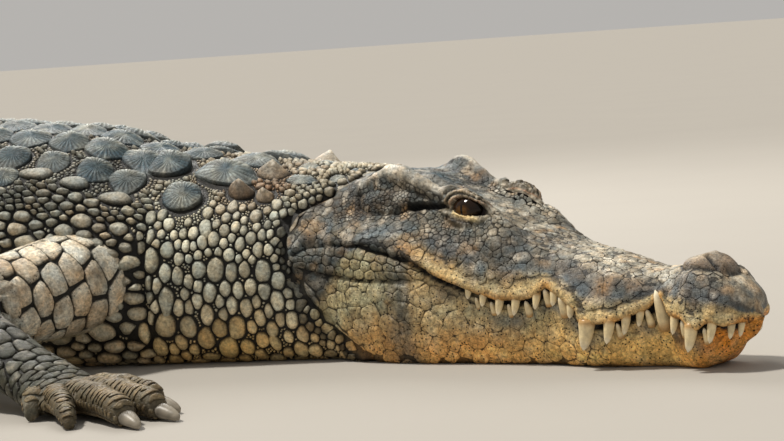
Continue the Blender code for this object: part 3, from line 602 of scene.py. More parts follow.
def shaped_body():
    runs, local, rails = body_hide()
    n = local_normals(local)
    head = runs < 62
    h = np.zeros(local.shape[:2])
    h[head] = head_form(local[head])
    # Rough bone on the skull and snout, soft swells in the flesh elsewhere.
    upper = fade(local[..., 2], mouth_up(runs)[:, None] + 2.5, mouth_up(runs)[:, None] + 6.5)
    bony = (fade(runs, 8, 14) * (1 - fade(runs, 46, 52)))[:, None] * upper
    p = local[head]
    rough = 0.5 * lumps(p * (0.7, 1, 1), 1.15, 1) + 0.35 * lumps(p, 0.55, 2)
    h[head] += rough * 0.22 * bony[head]
    h[head] += 0.07 * lumps(p, 1.6, 3) * (1 - bony[head])
    rest = ~head
    h[rest] += 0.16 * lumps(local[rest], 6.0, 4) * fade(local[rest][..., 2], 1, 6)
    # Creases between neck and shoulder and along the flank.
    for spot, lean, reach, depth in ((79.8, 0.03, 0.8, 0.9), (83.4, 0.1, 0.7, 0.4),
                                     (66.0, 0.05, 0.6, 0.2)):
        where = local[..., 0] + lean * (local[..., 2] - 8)
        sides = fade(local[..., 2], 1, 5), 1 - fade(local[..., 2], 15, 20)
        h -= depth * hill(where, spot, reach) * sides[0] * sides[1]
    flank_fold = local[..., 2] - 5.5 - 0.8 * np.sin(local[..., 0] * 0.12)
    flank = fade(runs, 92, 104) * (1 - fade(runs, 146, 158))
    h -= 0.6 * hill(flank_fold, 0, 0.9) * flank[:, None]
    moved = local + n * h[..., None]
    moved[..., 2] = np.maximum(moved[..., 2], 0.05)
    # The chin slopes back under the snout's tip and narrows below.
    under = np.clip(5.0 - moved[..., 2], 0, 5)
    moved[..., 0] += 0.1 * under ** 2 * (1 - fade(runs, 0, 8))[:, None]
    moved[..., 1] *= 1 - 0.045 * under * (1 - fade(runs, 2, 14))[:, None]
    # The chin's tip is rounded over.
    tip = (1 - fade(runs, 2.2, 4.0))[:, None] * (1 - fade(moved[..., 2], 4.6, 6.4))
    tip[:1] = 0
    for _ in range(30):
        even = moved.copy()
        even[1:-1] = (moved[:-2] + 2 * moved[1:-1] + moved[2:]) / 4
        even = (np.roll(even, 1, 1) + 2 * even + np.roll(even, -1, 1)) / 4
        moved = moved + (even - moved) * tip[..., None]
    grid = place(moved[..., 0], moved[..., 1], moved[..., 2])
    return Hide(runs, grid + AXIS_SHIFT, rails, local)


# ---- legs

def leg_hide(name):
    """A leg from inside the trunk to the knuckles, as one tube."""
    path = [list(p) for p in ARMS[name]]
    shape = HAND if name.endswith("arm") else FOOT
    tips = DIGITS[name]
    wrist = np.array(path[-1][:3], float)
    aim = np.mean([t for t in tips[:3]], axis=0) - wrist[:2]
    aim = np.array([*(aim / np.linalg.norm(aim)), 0.0])
    knuckle = wrist + aim * shape["palm"]
    for f, height, half, thick in ((0.3, 3.1, 4.3, 2.75), (0.62, 2.3, 4.75, 2.2),
                                   (0.93, 1.6, shape["wide"], 1.55), (1.03, 1.3, 3.9, 1.0)):
        spot = wrist + (knuckle - wrist) * f
        path.append([spot[0], spot[1], height, half, thick])
    path = np.array(path, float)
    steps = np.linalg.norm(np.diff(path[:, :3], axis=0), axis=1)
    along = np.concatenate([[0], np.cumsum(steps)])
    smooth = [curve_through(dict(zip(along, path[:, k]))) for k in range(5)]
    runs = np.linspace(0, along[-1], 150)
    centre = np.stack([f(runs) for f in smooth[:3]], -1)
    for _ in range(6):
        centre[1:-1] = (centre[:-2] + centre[1:-1] * 2 + centre[2:]) / 4
    ahead = np.gradient(centre, axis=0)
    ahead /= np.linalg.norm(ahead, axis=-1, keepdims=True)
    across = np.cross(ahead, (0, 0, 1.0))
    across /= np.linalg.norm(across, axis=-1, keepdims=True)
    upward = np.cross(across, ahead)
    count = 96
    # Girth place 0 is the top, as on the body, and rises towards the right of the way out.
    a = np.linspace(-math.pi, math.pi, count, endpoint=False)
    half, thick = smooth[3](runs)[:, None, None], smooth[4](runs)[:, None, None]
    grid = (centre[:, None] + across[:, None] * half * np.sin(a)[None, :, None] * 0.97
            + upward[:, None] * thick * np.cos(a)[None, :, None] * 0.97)
    grid[..., 2] = np.maximum(grid[..., 2], 0.06)
    return Hide(runs, grid + AXIS_SHIFT), aim, knuckle, shape


def digit_hide(base, tip, shape, clawed):
    base, tip = np.array(base, float), np.array([tip[0], tip[1], 0.0])
    way = tip - base
    way[2] = 0
    length = np.linalg.norm(way)
    way /= length
    reach = length - shape["claw"] * (0.8 if clawed else 0.3)
    t = np.linspace(0, 1, 34)
    centre = base[None, :] + way[None, :] * (t * reach)[:, None]
    fat, thin = shape["digit"], shape["tip"]
    radius = fat + (thin - fat) * t ** 1.4
    if not clawed:
        radius = fat * 0.92 * (1 - 0.62 * t ** 1.2)
    knob = 0.07 * np.sin(t * 3 * math.pi) ** 2
    radius = radius * (1 + knob)
    end = np.sqrt(np.maximum(1 - np.maximum((t - 0.9) / 0.1, 0) ** 2, 0.0))
    radius = radius * np.maximum(end, 0.04)
    centre[:, 2] = np.maximum(base[2] * (1 - t) + radius * t + 0.9 * np.sin(t * math.pi) * 0.55,
                              np.maximum(radius * 0.85, 0.2))
    across = np.cross(way, (0, 0, 1.0))
    a = np.linspace(-math.pi, math.pi, 40, endpoint=False)
    grid = (centre[:, None] + across[None, None] * (radius[:, None] * np.sin(a))[..., None] * 1.05
            + np.array([0, 0, 1.0]) * (radius[:, None] * np.cos(a))[..., None])
    grid[..., 2] = np.maximum(grid[..., 2], 0.06)
    return Hide(t * reach, grid + AXIS_SHIFT), way, centre[-1] + AXIS_SHIFT


# ---- mesh writing

def new_object(name, data):
    made = bpy.data.objects.new(name, data)
    bpy.context.scene.collection.objects.link(made)
    return made


def paint_points(mesh, tone):
    """Writes one colour a point, with full pits where no fourth value is given."""
    full = np.ones((len(tone), 4), np.float32)
    full[:, :tone.shape[1]] = tone
    layer = mesh.attributes.new("tone", "FLOAT_COLOR", "POINT")
    layer.data.foreach_set("color", full.ravel())
    mesh.shade_smooth()


def settle(piece, nodes, finish):
    """Gives a piece its material, body, replaced nodes and slot."""
    piece.data.materials.clear()
    piece.data.materials.append(finish)
    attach(piece, "root")
    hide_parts(*nodes)


def even_share(values):
    """Values spread over a bake map's width."""
    return (values - values.min()) / (values.max() - values.min()) * 0.98 + 0.01


def new_piece(name, points, faces, nodes, finish, tone, uv=None):
    """A mesh object in metres from points in centimetres, with its colour and bake map."""
    mesh = bpy.data.meshes.new(name)
    quick_faces(mesh, points * CM, faces)
    if uv is not None:
        layer = mesh.uv_layers.new(name="OFBake")
        loops = np.empty(len(mesh.loops), np.int32)
        mesh.loops.foreach_get("vertex_index", loops)
        layer.data.foreach_set("uv", np.stack(uv, -1).astype(np.float32)[loops].ravel())
    paint_points(mesh, tone)
    piece = new_object(name, mesh)
    settle(piece, nodes, finish)
    return piece


def quick_faces(mesh, points, quads):
    """Writes a mesh from rows of four point numbers, where a last number of -1 means a triangle."""
    tri = quads[:, 3] < 0
    sizes = np.where(tri, 3, 4)
    loops = quads[quads >= 0]
    mesh.vertices.add(len(points))
    mesh.vertices.foreach_set("co", points.astype(np.float32).ravel())
    mesh.loops.add(len(loops))
    mesh.loops.foreach_set("vertex_index", loops.astype(np.int32))
    mesh.polygons.add(len(quads))
    starts = np.concatenate([[0], np.cumsum(sizes)[:-1]])
    mesh.polygons.foreach_set("loop_start", starts.astype(np.int32))
    mesh.update(calc_edges=True)
    mesh.validate()


def tube_faces(rows, columns, start=0):
    """Quads over rows of points that close round, in the outward winding."""
    i, j = np.meshgrid(np.arange(rows - 1), np.arange(columns), indexing="ij")
    a, b = start + i * columns + j, start + i * columns + (j + 1) % columns
    return np.stack([a, b, b + columns, a + columns], -1).reshape(-1, 4)


def sheet_faces(rows, columns):
    """Quads over rows of points, open at every edge."""
    i, j = np.meshgrid(np.arange(rows - 1), np.arange(columns - 1), indexing="ij")
    a = i * columns + j
    return np.stack([a, a + 1, a + columns + 1, a + columns], -1).reshape(-1, 4)


def fan(ring, centre, flip):
    nxt = np.roll(ring, -1)
    made = np.stack([ring, nxt, np.full(len(ring), centre), np.full(len(ring), -1)], -1)
    return made[:, [1, 0, 2, 3]] if flip else made


# ---- colours and markings

def tint(r, g, b):
    """A linear colour from the 0-255 numbers of a paint card."""
    v = np.array((r, g, b), float) / 255
    return np.where(v > 0.04045, ((v + 0.055) / 1.055) ** 2.4, v / 12.92)


BONE_TAN, SNOUT_TAN, SNOUT_PALE = tint(152, 144, 126), tint(92, 90, 82), tint(200, 188, 164)
SNOUT_BLUE, NOSE_DARK, RIDGE_CREAM = tint(100, 114, 122), tint(106, 88, 72), tint(240, 232, 214)
SKULL_BROWN, FLAP_BROWN, CHEEK_BROWN = tint(90, 90, 84), tint(84, 76, 64), tint(124, 116, 98)
LIP_YELLOW, LIP_ORANGE, TIP_ORANGE = tint(222, 196, 140), tint(224, 166, 92), tint(255, 160, 44)
JOWL_GREEN, JAW_OCHRE, JAW_YELLOW = tint(180, 170, 132), tint(238, 182, 106), tint(255, 212, 128)
NECK_CREAM, NECK_YELLOW, NAPE_BROWN = tint(200, 198, 178), tint(200, 168, 108), tint(144, 130, 108)
SCUTE_BLUE, SCUTE_PALE, BACK_GREY = tint(66, 86, 94), tint(186, 190, 180), tint(136, 140, 134)
FLANK_GREY, FLANK_TAN, BELLY_CREAM = tint(150, 150, 138), tint(200, 172, 134), tint(214, 198, 156)
ARM_CREAM, ARM_BLUE, HAND_OLIVE = tint(222, 216, 198), tint(34, 42, 44), tint(62, 62, 50)
DIGIT_TAN, TAIL_OLIVE, BAND_DARK = tint(116, 102, 76), tint(138, 132, 106), tint(50, 48, 38)
# GROOVE_SHADE is near black: it is used as painted shade in grooves, creases and slits and between scales.
GROOVE_SHADE, LID_OLIVE, LID_YELLOW = tint(17, 14, 10), tint(96, 86, 66), tint(214, 190, 140)
NAPE_RUST, HORN_GREY = tint(164, 128, 98), tint(134, 126, 112)


def blend(under, over, share):
    share = np.clip(share, 0, 1)[..., None]
    return under * (1 - share) + over * share




def painted(tone, *coats):
    """A colour with each (colour, share) laid over it in turn."""
    for over, share in coats:
        tone = blend(tone, over, share)
    return tone


def body_markings(s, q, p):
    """The animal's colours over neck, trunk, tail and head, with painted shade in the crease behind the
    head, before the scales and their painted groove shade.
    """
    mottle, fine = lumps(p, 5.0, 7), lumps(p, 1.7, 8)
    behind = behind_head(s, q)
    upper = 1 - fade(q, 6.5, 8.5)
    band = fade(np.sin((s - 160) * 0.36 + 0.6 * mottle), 0.1, 0.7) * fade(s, 150, 178)
    blotch = fade(mottle, 0.1, 0.6) * fade(s, 76, 90) * upper
    brown = (1 - fade(np.abs(s - 66), 3, 6)) * hill(q, 2.3, 1.3) * fade(behind, 0, 2)
    tone = painted(
        NECK_CREAM,
        # Neck and trunk, from the back down to the belly.
        (NECK_YELLOW, fade(q, 5.6, 8.0) * 0.9 + 0.3 * mottle),
        (FLANK_GREY, fade(s, 76, 86) * (1 - 0.6 * fade(q, 6, 8))),
        (FLANK_TAN, fade(s, 74, 84) * (0.1 + 0.5 * fine)),
        (NAPE_BROWN, (1 - fade(q, 2.4, 3.6)) * (0.6 + 0.5 * fine)),
        (BACK_GREY, fade(s, 70, 90) * (1 - fade(q, 2.8, 5.0)) * 0.5),
        (BELLY_CREAM * 0.8, fade(q, 8.6, 9.8)),
        # Tail: olive with dark bands.
        (TAIL_OLIVE, fade(s, 160, 176) * (1 - fade(q, 8.2, 9.6))),
        (BAND_DARK, 0.75 * band * upper),
        (BAND_DARK, 0.6 * blotch),
        (NAPE_RUST, 0.7 * brown),
        # Painted shade in the crease behind the head's last plates.
        (GROOVE_SHADE, 0.85 * hill(behind, 0.5, 0.7) * fade(q, 2.8, 4.2)))
    return blend(tone, head_markings(s, q, p, mottle, fine), 1 - fade(behind, -0.7, 0.5))


def head_markings(s, q, p, mottle, fine):
    """The head's colours, with painted shade in the mouth line, the fold behind the mouth's corner, the
    furrow round the nostrils' mound and the nostril and ear slits, and a painted highlight on the mound's
    top.
    """
    broad, patch, cool = lumps(p, 3.4, 9), lumps(p, 2.3, 10), lumps(p, 0.95, 31)
    level = p[..., 2] - mouth_up(s)
    above = level + 0.5 * patch
    jaw = (1 - fade(above, -0.3, 0.1)) * fade(q, 3.8, 4.2)
    jaw = jaw * (1 - fade(s, 39, 42)) + fade(q, 6.6, 7.4) * fade(s, 40, 46)
    lip = (1 - fade(above, 0.7, 3.9)) * (1 - fade(s, 38.5, 41)) * fade(q, 3.2, 3.8)
    low = np.maximum(lip, jaw)
    lower = painted(
        JOWL_GREEN,
        (JAW_OCHRE, fade(q, 7.6, 9.0) * (1 - 0.3 * fade(s, 40, 50)) + 0.35 * mottle),
        (JAW_YELLOW, (1 - fade(s, 12, 34)) * (0.5 + 0.4 * fade(q, 7.0, 8.6))),
        (SNOUT_BLUE * 0.8, (0.3 + 0.7 * patch) * hill(above, -1.6, 1.2) * (1 - fade(s, 36, 42))),
        (JAW_OCHRE * 0.8, fade(q, 8.8, 9.6) * 0.8))
    # Masks for painted shade: the creases of the fold behind the mouth's corner, and the line where the
    # lips close.
    fold_shade = np.maximum(stroke(p, RICTUS_TOP, 0.28, 1.0, 3), stroke(p, RICTUS_LOW, 0.24, 0.9, 3))
    line = 1.4 * hill(level, -0.22, 0.4) * (1 - fade(s, 38, 41)) * fade(np.abs(p[..., 1]), 0.5, 1.5)
    on_nose = nose_share(p)
    nose = 1 - fade(on_nose, 0.95, 1.15)
    return painted(
        SNOUT_TAN,
        (SNOUT_PALE, (1 - fade(q, 1.6, 2.8)) * (1 - fade(s, 20, 30)) * 0.8),
        (SNOUT_BLUE, hill(q, 3.9, 1.1) * (0.55 + 0.7 * patch) * (1 - fade(s, 30, 40))),
        (NOSE_DARK, 0.75 * hill(s, 5.0, 4.0) * hill(q, 3.2, 1.4) * (0.7 + 0.5 * patch)),
        (BONE_TAN, fade(s, 24, 32) * (1 - fade(q, 2, 4))),
        (SKULL_BROWN, fade(s, 36, 41) * (1 - fade(q, 2.4, 4.2))),
        (SCUTE_BLUE, fade(s, 32, 40) * (1 - fade(q, 2.0, 2.6)) * fade(patch, 0.0, 0.5) * 0.8),
        (CHEEK_BROWN, fade(s, 26, 34) * hill(q, 3.9, 1.1)),
        (SNOUT_BLUE, fade(s, 26, 32) * hill(q, 4.2, 1.0) * fade(patch, -0.1, 0.5) * 0.7),
        (FLAP_BROWN, fade(s, 40, 43) * hill(q, 2.85, 0.62)),
        (RIDGE_CREAM, stroke(p, SQUAMOSAL, 0.9, 1.0) * (0.75 + 0.4 * patch) * fade(q, 1.75, 2.05)),
        (RIDGE_CREAM, stroke(p, [(31.0, 6.2, 17.3), (29.0, 6.5, 16.0)], 0.9, 1.3) * fade(fine, -0.2, 0.4)),
        (CHEEK_BROWN, 0.7 * stroke(p, moved_line(EAR_SLIT, 0, -0.95), 0.4, 1.0)),
        (JAW_OCHRE, 0.75 * hill(s, 38.5, 3.0) * hill(q, 4.7, 0.4)),
        (LIP_YELLOW, lip),
        (LIP_ORANGE, lip * (1 - fade(above, 0.1, 1.3)) * (0.8 + 0.6 * fine)),
        (lower, jaw),
        # Painted shade in the fold's creases.
        (GROOVE_SHADE, fold_shade),
        (TIP_ORANGE, (1 - fade(s, 3, 11)) * fade(-above, -1.2, 0.6) * (0.6 + 0.5 * fine)),
        (NOSE_DARK * 0.4, 0.85 * jaw * hill(s, 8.5, 2.4) * hill(above, -2.0, 1.2) * fade(fine, -0.5, 0.2)),
        # Painted shade along the line where the lips close.
        (GROOVE_SHADE, 0.95 * line * fade(q, 3.4, 3.8)),
        (LIP_ORANGE, 0.4 * hill(s, 14.5, 2.6) * hill(q, 2.7, 0.8) * fade(fine, -0.2, 0.4)),
        (NOSE_DARK * 0.4, 0.5 * fade(broad, 0.05, 0.6) * (1 - jaw) * (1 - lip)),
        (SCUTE_BLUE, 0.42 * fade(cool, 0.0, 0.5) * (1 - 0.9 * low)),
        (RIDGE_CREAM, 0.3 * fade(-cool, 0.1, 0.6) * (1 - 0.7 * low)),
        (JAW_OCHRE * 0.6, 0.3 * fade(lumps(p, 1.5, 32), 0.2, 0.7) * (1 - lip)),
        (NOSE_DARK, 0.8 * nose),
        # Painted highlight, pale, on the top of the nostrils' mound.
        (SNOUT_PALE, nose * fade(p[..., 2], 11.3, 12.5) * (0.5 + 0.6 * patch)),
        # Painted shade in the furrow round the nostrils' mound, in the nostril slits and in the ear's slit.
        (GROOVE_SHADE, 0.8 * hill(on_nose, 1.1, 0.06) + 1.4 * nostril_share(p, 0.24)),
        (GROOVE_SHADE * 0.6, 1.3 * slit_share(p, 0.32)))


def nostril_share(p, reach):
    """1 along each nostril's slit, told by run and out only."""
    return stroke(p * (1.0, 1.0, 0.0), NOSTRIL, reach, 1.0) * fade(p[..., 2], 9.5, 10.5)


def nose_share(p):
    """Below 1 on the nostrils' mound."""
    off = np.hypot((p[..., 0] - NOSE_RUN) / NOSE_REACH, p[..., 1] / NOSE_REACH)
    return off + np.where(p[..., 2] > 8.6, 0, 9)


def bare_share(s, q, p):
    """1 where there are no scales, so the skin shows its full colour: lips and snout tip."""
    above = p[..., 2] - mouth_up(s)
    top = 1.4 + 0.6 * fade(s, 18, 24) + 0.5 * lumps(p, 1.3, 30)
    lip = fade(above, -1.3, -0.9) * (1 - fade(above, top, top + 0.4))
    lip = lip * (1 - fade(s, 38, 40)) * fade(q, 3.8, 4.1)
    chin = (1 - fade(above, -1.2, -0.8)) * (1 - fade(s, 15, 17)) * fade(q, 5.0, 5.5)
    nose = 1 - fade(nose_share(p), 0.98, 1.08)
    ridge = fade(stroke(p, SQUAMOSAL, 0.9, 1.0), 0.35, 0.55)
    return np.max([lip, chin, nose, ridge, 1 - fade(s, 2.4, 3.2)], axis=0)


def pit_share(s, q):
    """How strongly small dark pits mark the horn."""
    head = 1 - fade(behind_head(s, q), -3, 1)
    return 0.12 + head * (0.45 + 0.5 * fade(q, 2.5, 4.0))


def leg_markings(share, c, p, is_arm):
    """A leg's colours; share is 0 at the trunk and 1 at the knuckles."""
    below = fade(share, 0.36, 0.5)
    return painted(
        ARM_CREAM,
        (FLANK_TAN, 0.35 + 0.5 * lumps(p, 1.6, 11)),
        (TAIL_OLIVE, 0.0 if is_arm else 0.8),
        (ARM_BLUE, below * (0.88 + 0.2 * lumps(p, 4, 12))),
        (HAND_OLIVE, fade(share, 0.66, 0.82)),
        (ARM_CREAM, 0.22 * fade(lumps(p, 0.8, 14), 0.1, 0.7) * below),
        (DIGIT_TAN, fade(share, 0.92, 1.05)),
        (BELLY_CREAM, fade(np.abs(c), 0.82, 0.95)),
        (BAND_DARK, 0.35 * fade(lumps(p, 5, 13), 0.1, 0.6) * (1 - fade(share, 0.7, 0.9))))


# ---- laying out scales

BLANK, GRANULE, SCALE, PLATE, SCUTE, SHIELD = range(-1, 5)
# For each kind: points round it, ring places from the edge in, ring heights and ring lightness, which is
# painted shade: near black at the edge, full colour towards the middle.
KINDS = {
    GRANULE: (8, (1.0, 0.8, 0.4), (-1.0, 0.72, 1.0), (0.0, 0.62, 1.0)),
    SCALE: (16, (1.0, 0.94, 0.82, 0.45), (-1.0, 0.35, 0.84, 1.0), (0.0, 0.3, 0.82, 1.04)),
    PLATE: (22, (1.0, 0.96, 0.89, 0.5), (-1.0, 0.5, 0.95, 1.0), (0.05, 0.3, 0.96, 1.0)),
    SCUTE: (20, (1.0, 0.93, 0.8, 0.55, 0.28), (-1.0, 0.3, 0.75, 0.92, 1.0), (0.0, 0.3, 0.75, 0.95, 1.0)),
    SHIELD: (72, (1.0, 0.97, 0.9, 0.74, 0.55, 0.36, 0.17), (-1.0, 0.34, 0.66, 0.82, 0.91, 0.97, 1.0),
             (0.2, 0.6, 0.85, 0.9, 0.95, 1.0, 1.0)),
}
FIELDS = ("s", "c", "size", "wide", "tall", "high", "keel", "rough", "square", "gap", "reach", "rim",
          "kind")


def scales(s, c, size, **given):
    """A set of scales: size is the half-width in centimetres, wide and tall shares of it."""
    base = dict(wide=1.0, tall=1.0, high=0.3, keel=0.0, rough=0.05, square=9.0, gap=0.12,
                reach=1.8, rim=0.085, kind=SCALE)
    base.update(given)
    base.update(s=s, c=c, size=size)
    count = np.broadcast(*[np.asarray(base[f]) for f in FIELDS]).shape
    return {f: np.array(np.broadcast_to(np.asarray(base[f], float), count)).ravel() for f in FIELDS}


def together(*sets):
    return {f: np.concatenate([a[f] for a in sets]) for f in FIELDS}


def only(a, keep):
    return {f: a[f][keep] for f in FIELDS}


def tree_of(points):
    tree = KDTree(len(points))
    for k, p in enumerate(points):
        tree.insert(p, k)
    tree.balance()
    return tree


def scatter(hide, zone, seed, fixed, spacing=0.76, crowd=14):
    """Middles strewn over a hide, no two nearer than their sizes allow. zone(s, c) gives a set."""
    rng = np.random.default_rng(seed)
    columns = hide.grid.shape[1]
    step = 2
    runs, grid = hide.runs[:-step:step], hide.grid[::step, ::step]
    s0 = np.repeat(runs, columns // step)
    c0 = np.tile(-1 + 2 * np.arange(0, columns, step) / columns, len(runs))
    down = np.diff(grid, axis=0)[:len(runs)]
    over = (np.roll(grid, -1, axis=1) - grid)[:len(down)]
    area = np.linalg.norm(np.cross(down, over), axis=-1).ravel()
    first = zone(s0, c0)
    cover = np.maximum(first["size"] ** 2 * first["wide"] * first["tall"], 1e-4)
    need = np.where(first["size"] > 0, area / cover, 0)
    count = int(need.sum() / math.pi * crowd)
    pick = np.searchsorted(np.cumsum(need) / need.sum(), rng.random(count))
    spans = np.repeat(np.diff(hide.runs[::step])[:len(down)], columns // step)
    s = s0[pick] + rng.random(count) * spans[pick]
    c = c0[pick] + rng.random(count) * 2 * step / columns
    many = zone(s, c)
    spread = np.where(many["kind"] == PLATE, 0.5, 0.42)
    many["size"] *= np.exp(rng.uniform(-spread, spread * 0.9))
    many = only(many, many["size"] > 0)
    point, _, t, b, _, _ = hide.frame(many["s"], many["c"])
    alive = np.ones(len(point), bool)
    tree = tree_of(point)
    biggest = many["size"].max() * max(many["wide"].max(), many["tall"].max())

    def clear(p, t1, b1, made, k, share):
        """Drops the middles that lie too near the made scale k."""
        size, w, h = made["size"][k], made["wide"][k], made["tall"][k]
        near = [n for _, n, _ in tree.find_range(p, share * (size * max(w, h) + biggest)) if alive[n]]
        if near:
            v = point[near] - p
            w2, h2 = np.maximum(w, many["wide"][near]), np.maximum(h, many["tall"][near])
            gap = np.hypot(v @ t1 / w2, v @ b1 / h2)
            alive[np.array(near)[gap < share * (size + many["size"][near])]] = False

    fp, _, ft, fb, _, _ = hide.frame(fixed["s"], fixed["c"])
    for k in range(len(fp)):
        clear(fp[k], ft[k], fb[k], fixed, k, 0.93 if spacing < 0.7 else 0.86)
    chosen = []
    for k in range(len(point)):
        if alive[k]:
            chosen.append(k)
            clear(point[k], t[k], b[k], many, k, spacing)
    return only(many, np.array(chosen, int))


def beside(point, t, b, who, others):
    """The nearest others of each chosen scale, and how far along it and across it they lie."""
    near = nearest_of(tree_of(point), point[who], others + 1)[:, 1:]
    v = point[near] - point[who][:, None]
    return near, np.einsum("nki,ni->nk", v, t[who]), np.einsum("nki,ni->nk", v, b[who])


def evened(hide, coat, loose, rounds=3):
    """Moves the loose scales, given as a mask, apart where they crowd each other."""
    who = np.flatnonzero(loose)
    w, h = coat["wide"][who][:, None], coat["tall"][who][:, None]
    size = coat["size"][who]
    for _ in range(rounds):
        point, _, t, b, per_run, per_girth = hide.frame(coat["s"], coat["c"])
        near, x, y = beside(point, t, b, who, 8)
        x, y = x / w, y / h
        d = np.maximum(np.hypot(x, y), 1e-3)
        push = np.maximum((size[:, None] + coat["size"][near]) * 0.98 - d, 0) / d * 0.3
        move_x, move_y = -(push * x).sum(1), -(push * y).sum(1)
        shrink = np.minimum(1, size * 0.4 / np.maximum(np.hypot(move_x, move_y), 1e-6))
        lean = hide.skew(coat["s"][who], coat["c"][who])
        down = move_y * shrink * h[:, 0]
        coat["s"][who] += (move_x * shrink * w[:, 0] - lean * down) / per_run[who]
        coat["c"][who] += down * np.hypot(1, lean) / per_girth[who]
    return coat


def nearest_of(tree, points, count):
    return np.array([[k for _, k, _ in tree.find_n(p, count)] for p in points])


def build_scales(hide, coat, chosen, colour, others=18):
    """Points, faces, colours and hide places of the chosen scales, each shut in by its neighbours."""
    point, _, t, b, per_run, per_girth = hide.frame(coat["s"], coat["c"])
    near, a, h = beside(point, t, b, chosen, min(others, len(point) - 1))
    w, g = coat["wide"][chosen][:, None], coat["tall"][chosen][:, None]
    raw = np.maximum(np.hypot(a, h), 1e-3)
    mine = coat["size"][chosen][:, None] / np.hypot(a / raw / w, h / raw / g)
    theirs = coat["size"][near] / np.hypot(a / raw / coat["wide"][near], h / raw / coat["tall"][near])
    share = mine / (mine + theirs)
    x, y = a / w, h / g
    d = np.maximum(np.hypot(x, y), 1e-3)
    limit = np.maximum(d * share - coat["gap"][chosen][:, None] / 2 * d / raw, 0.06)
    made = []
    for kind in KINDS:
        mask = coat["kind"][chosen] == kind
        if mask.any():
            made.append(one_kind(hide, coat, chosen[mask], per_run, per_girth, kind,
                                 x[mask] / d[mask], y[mask] / d[mask], limit[mask], colour))
    return made


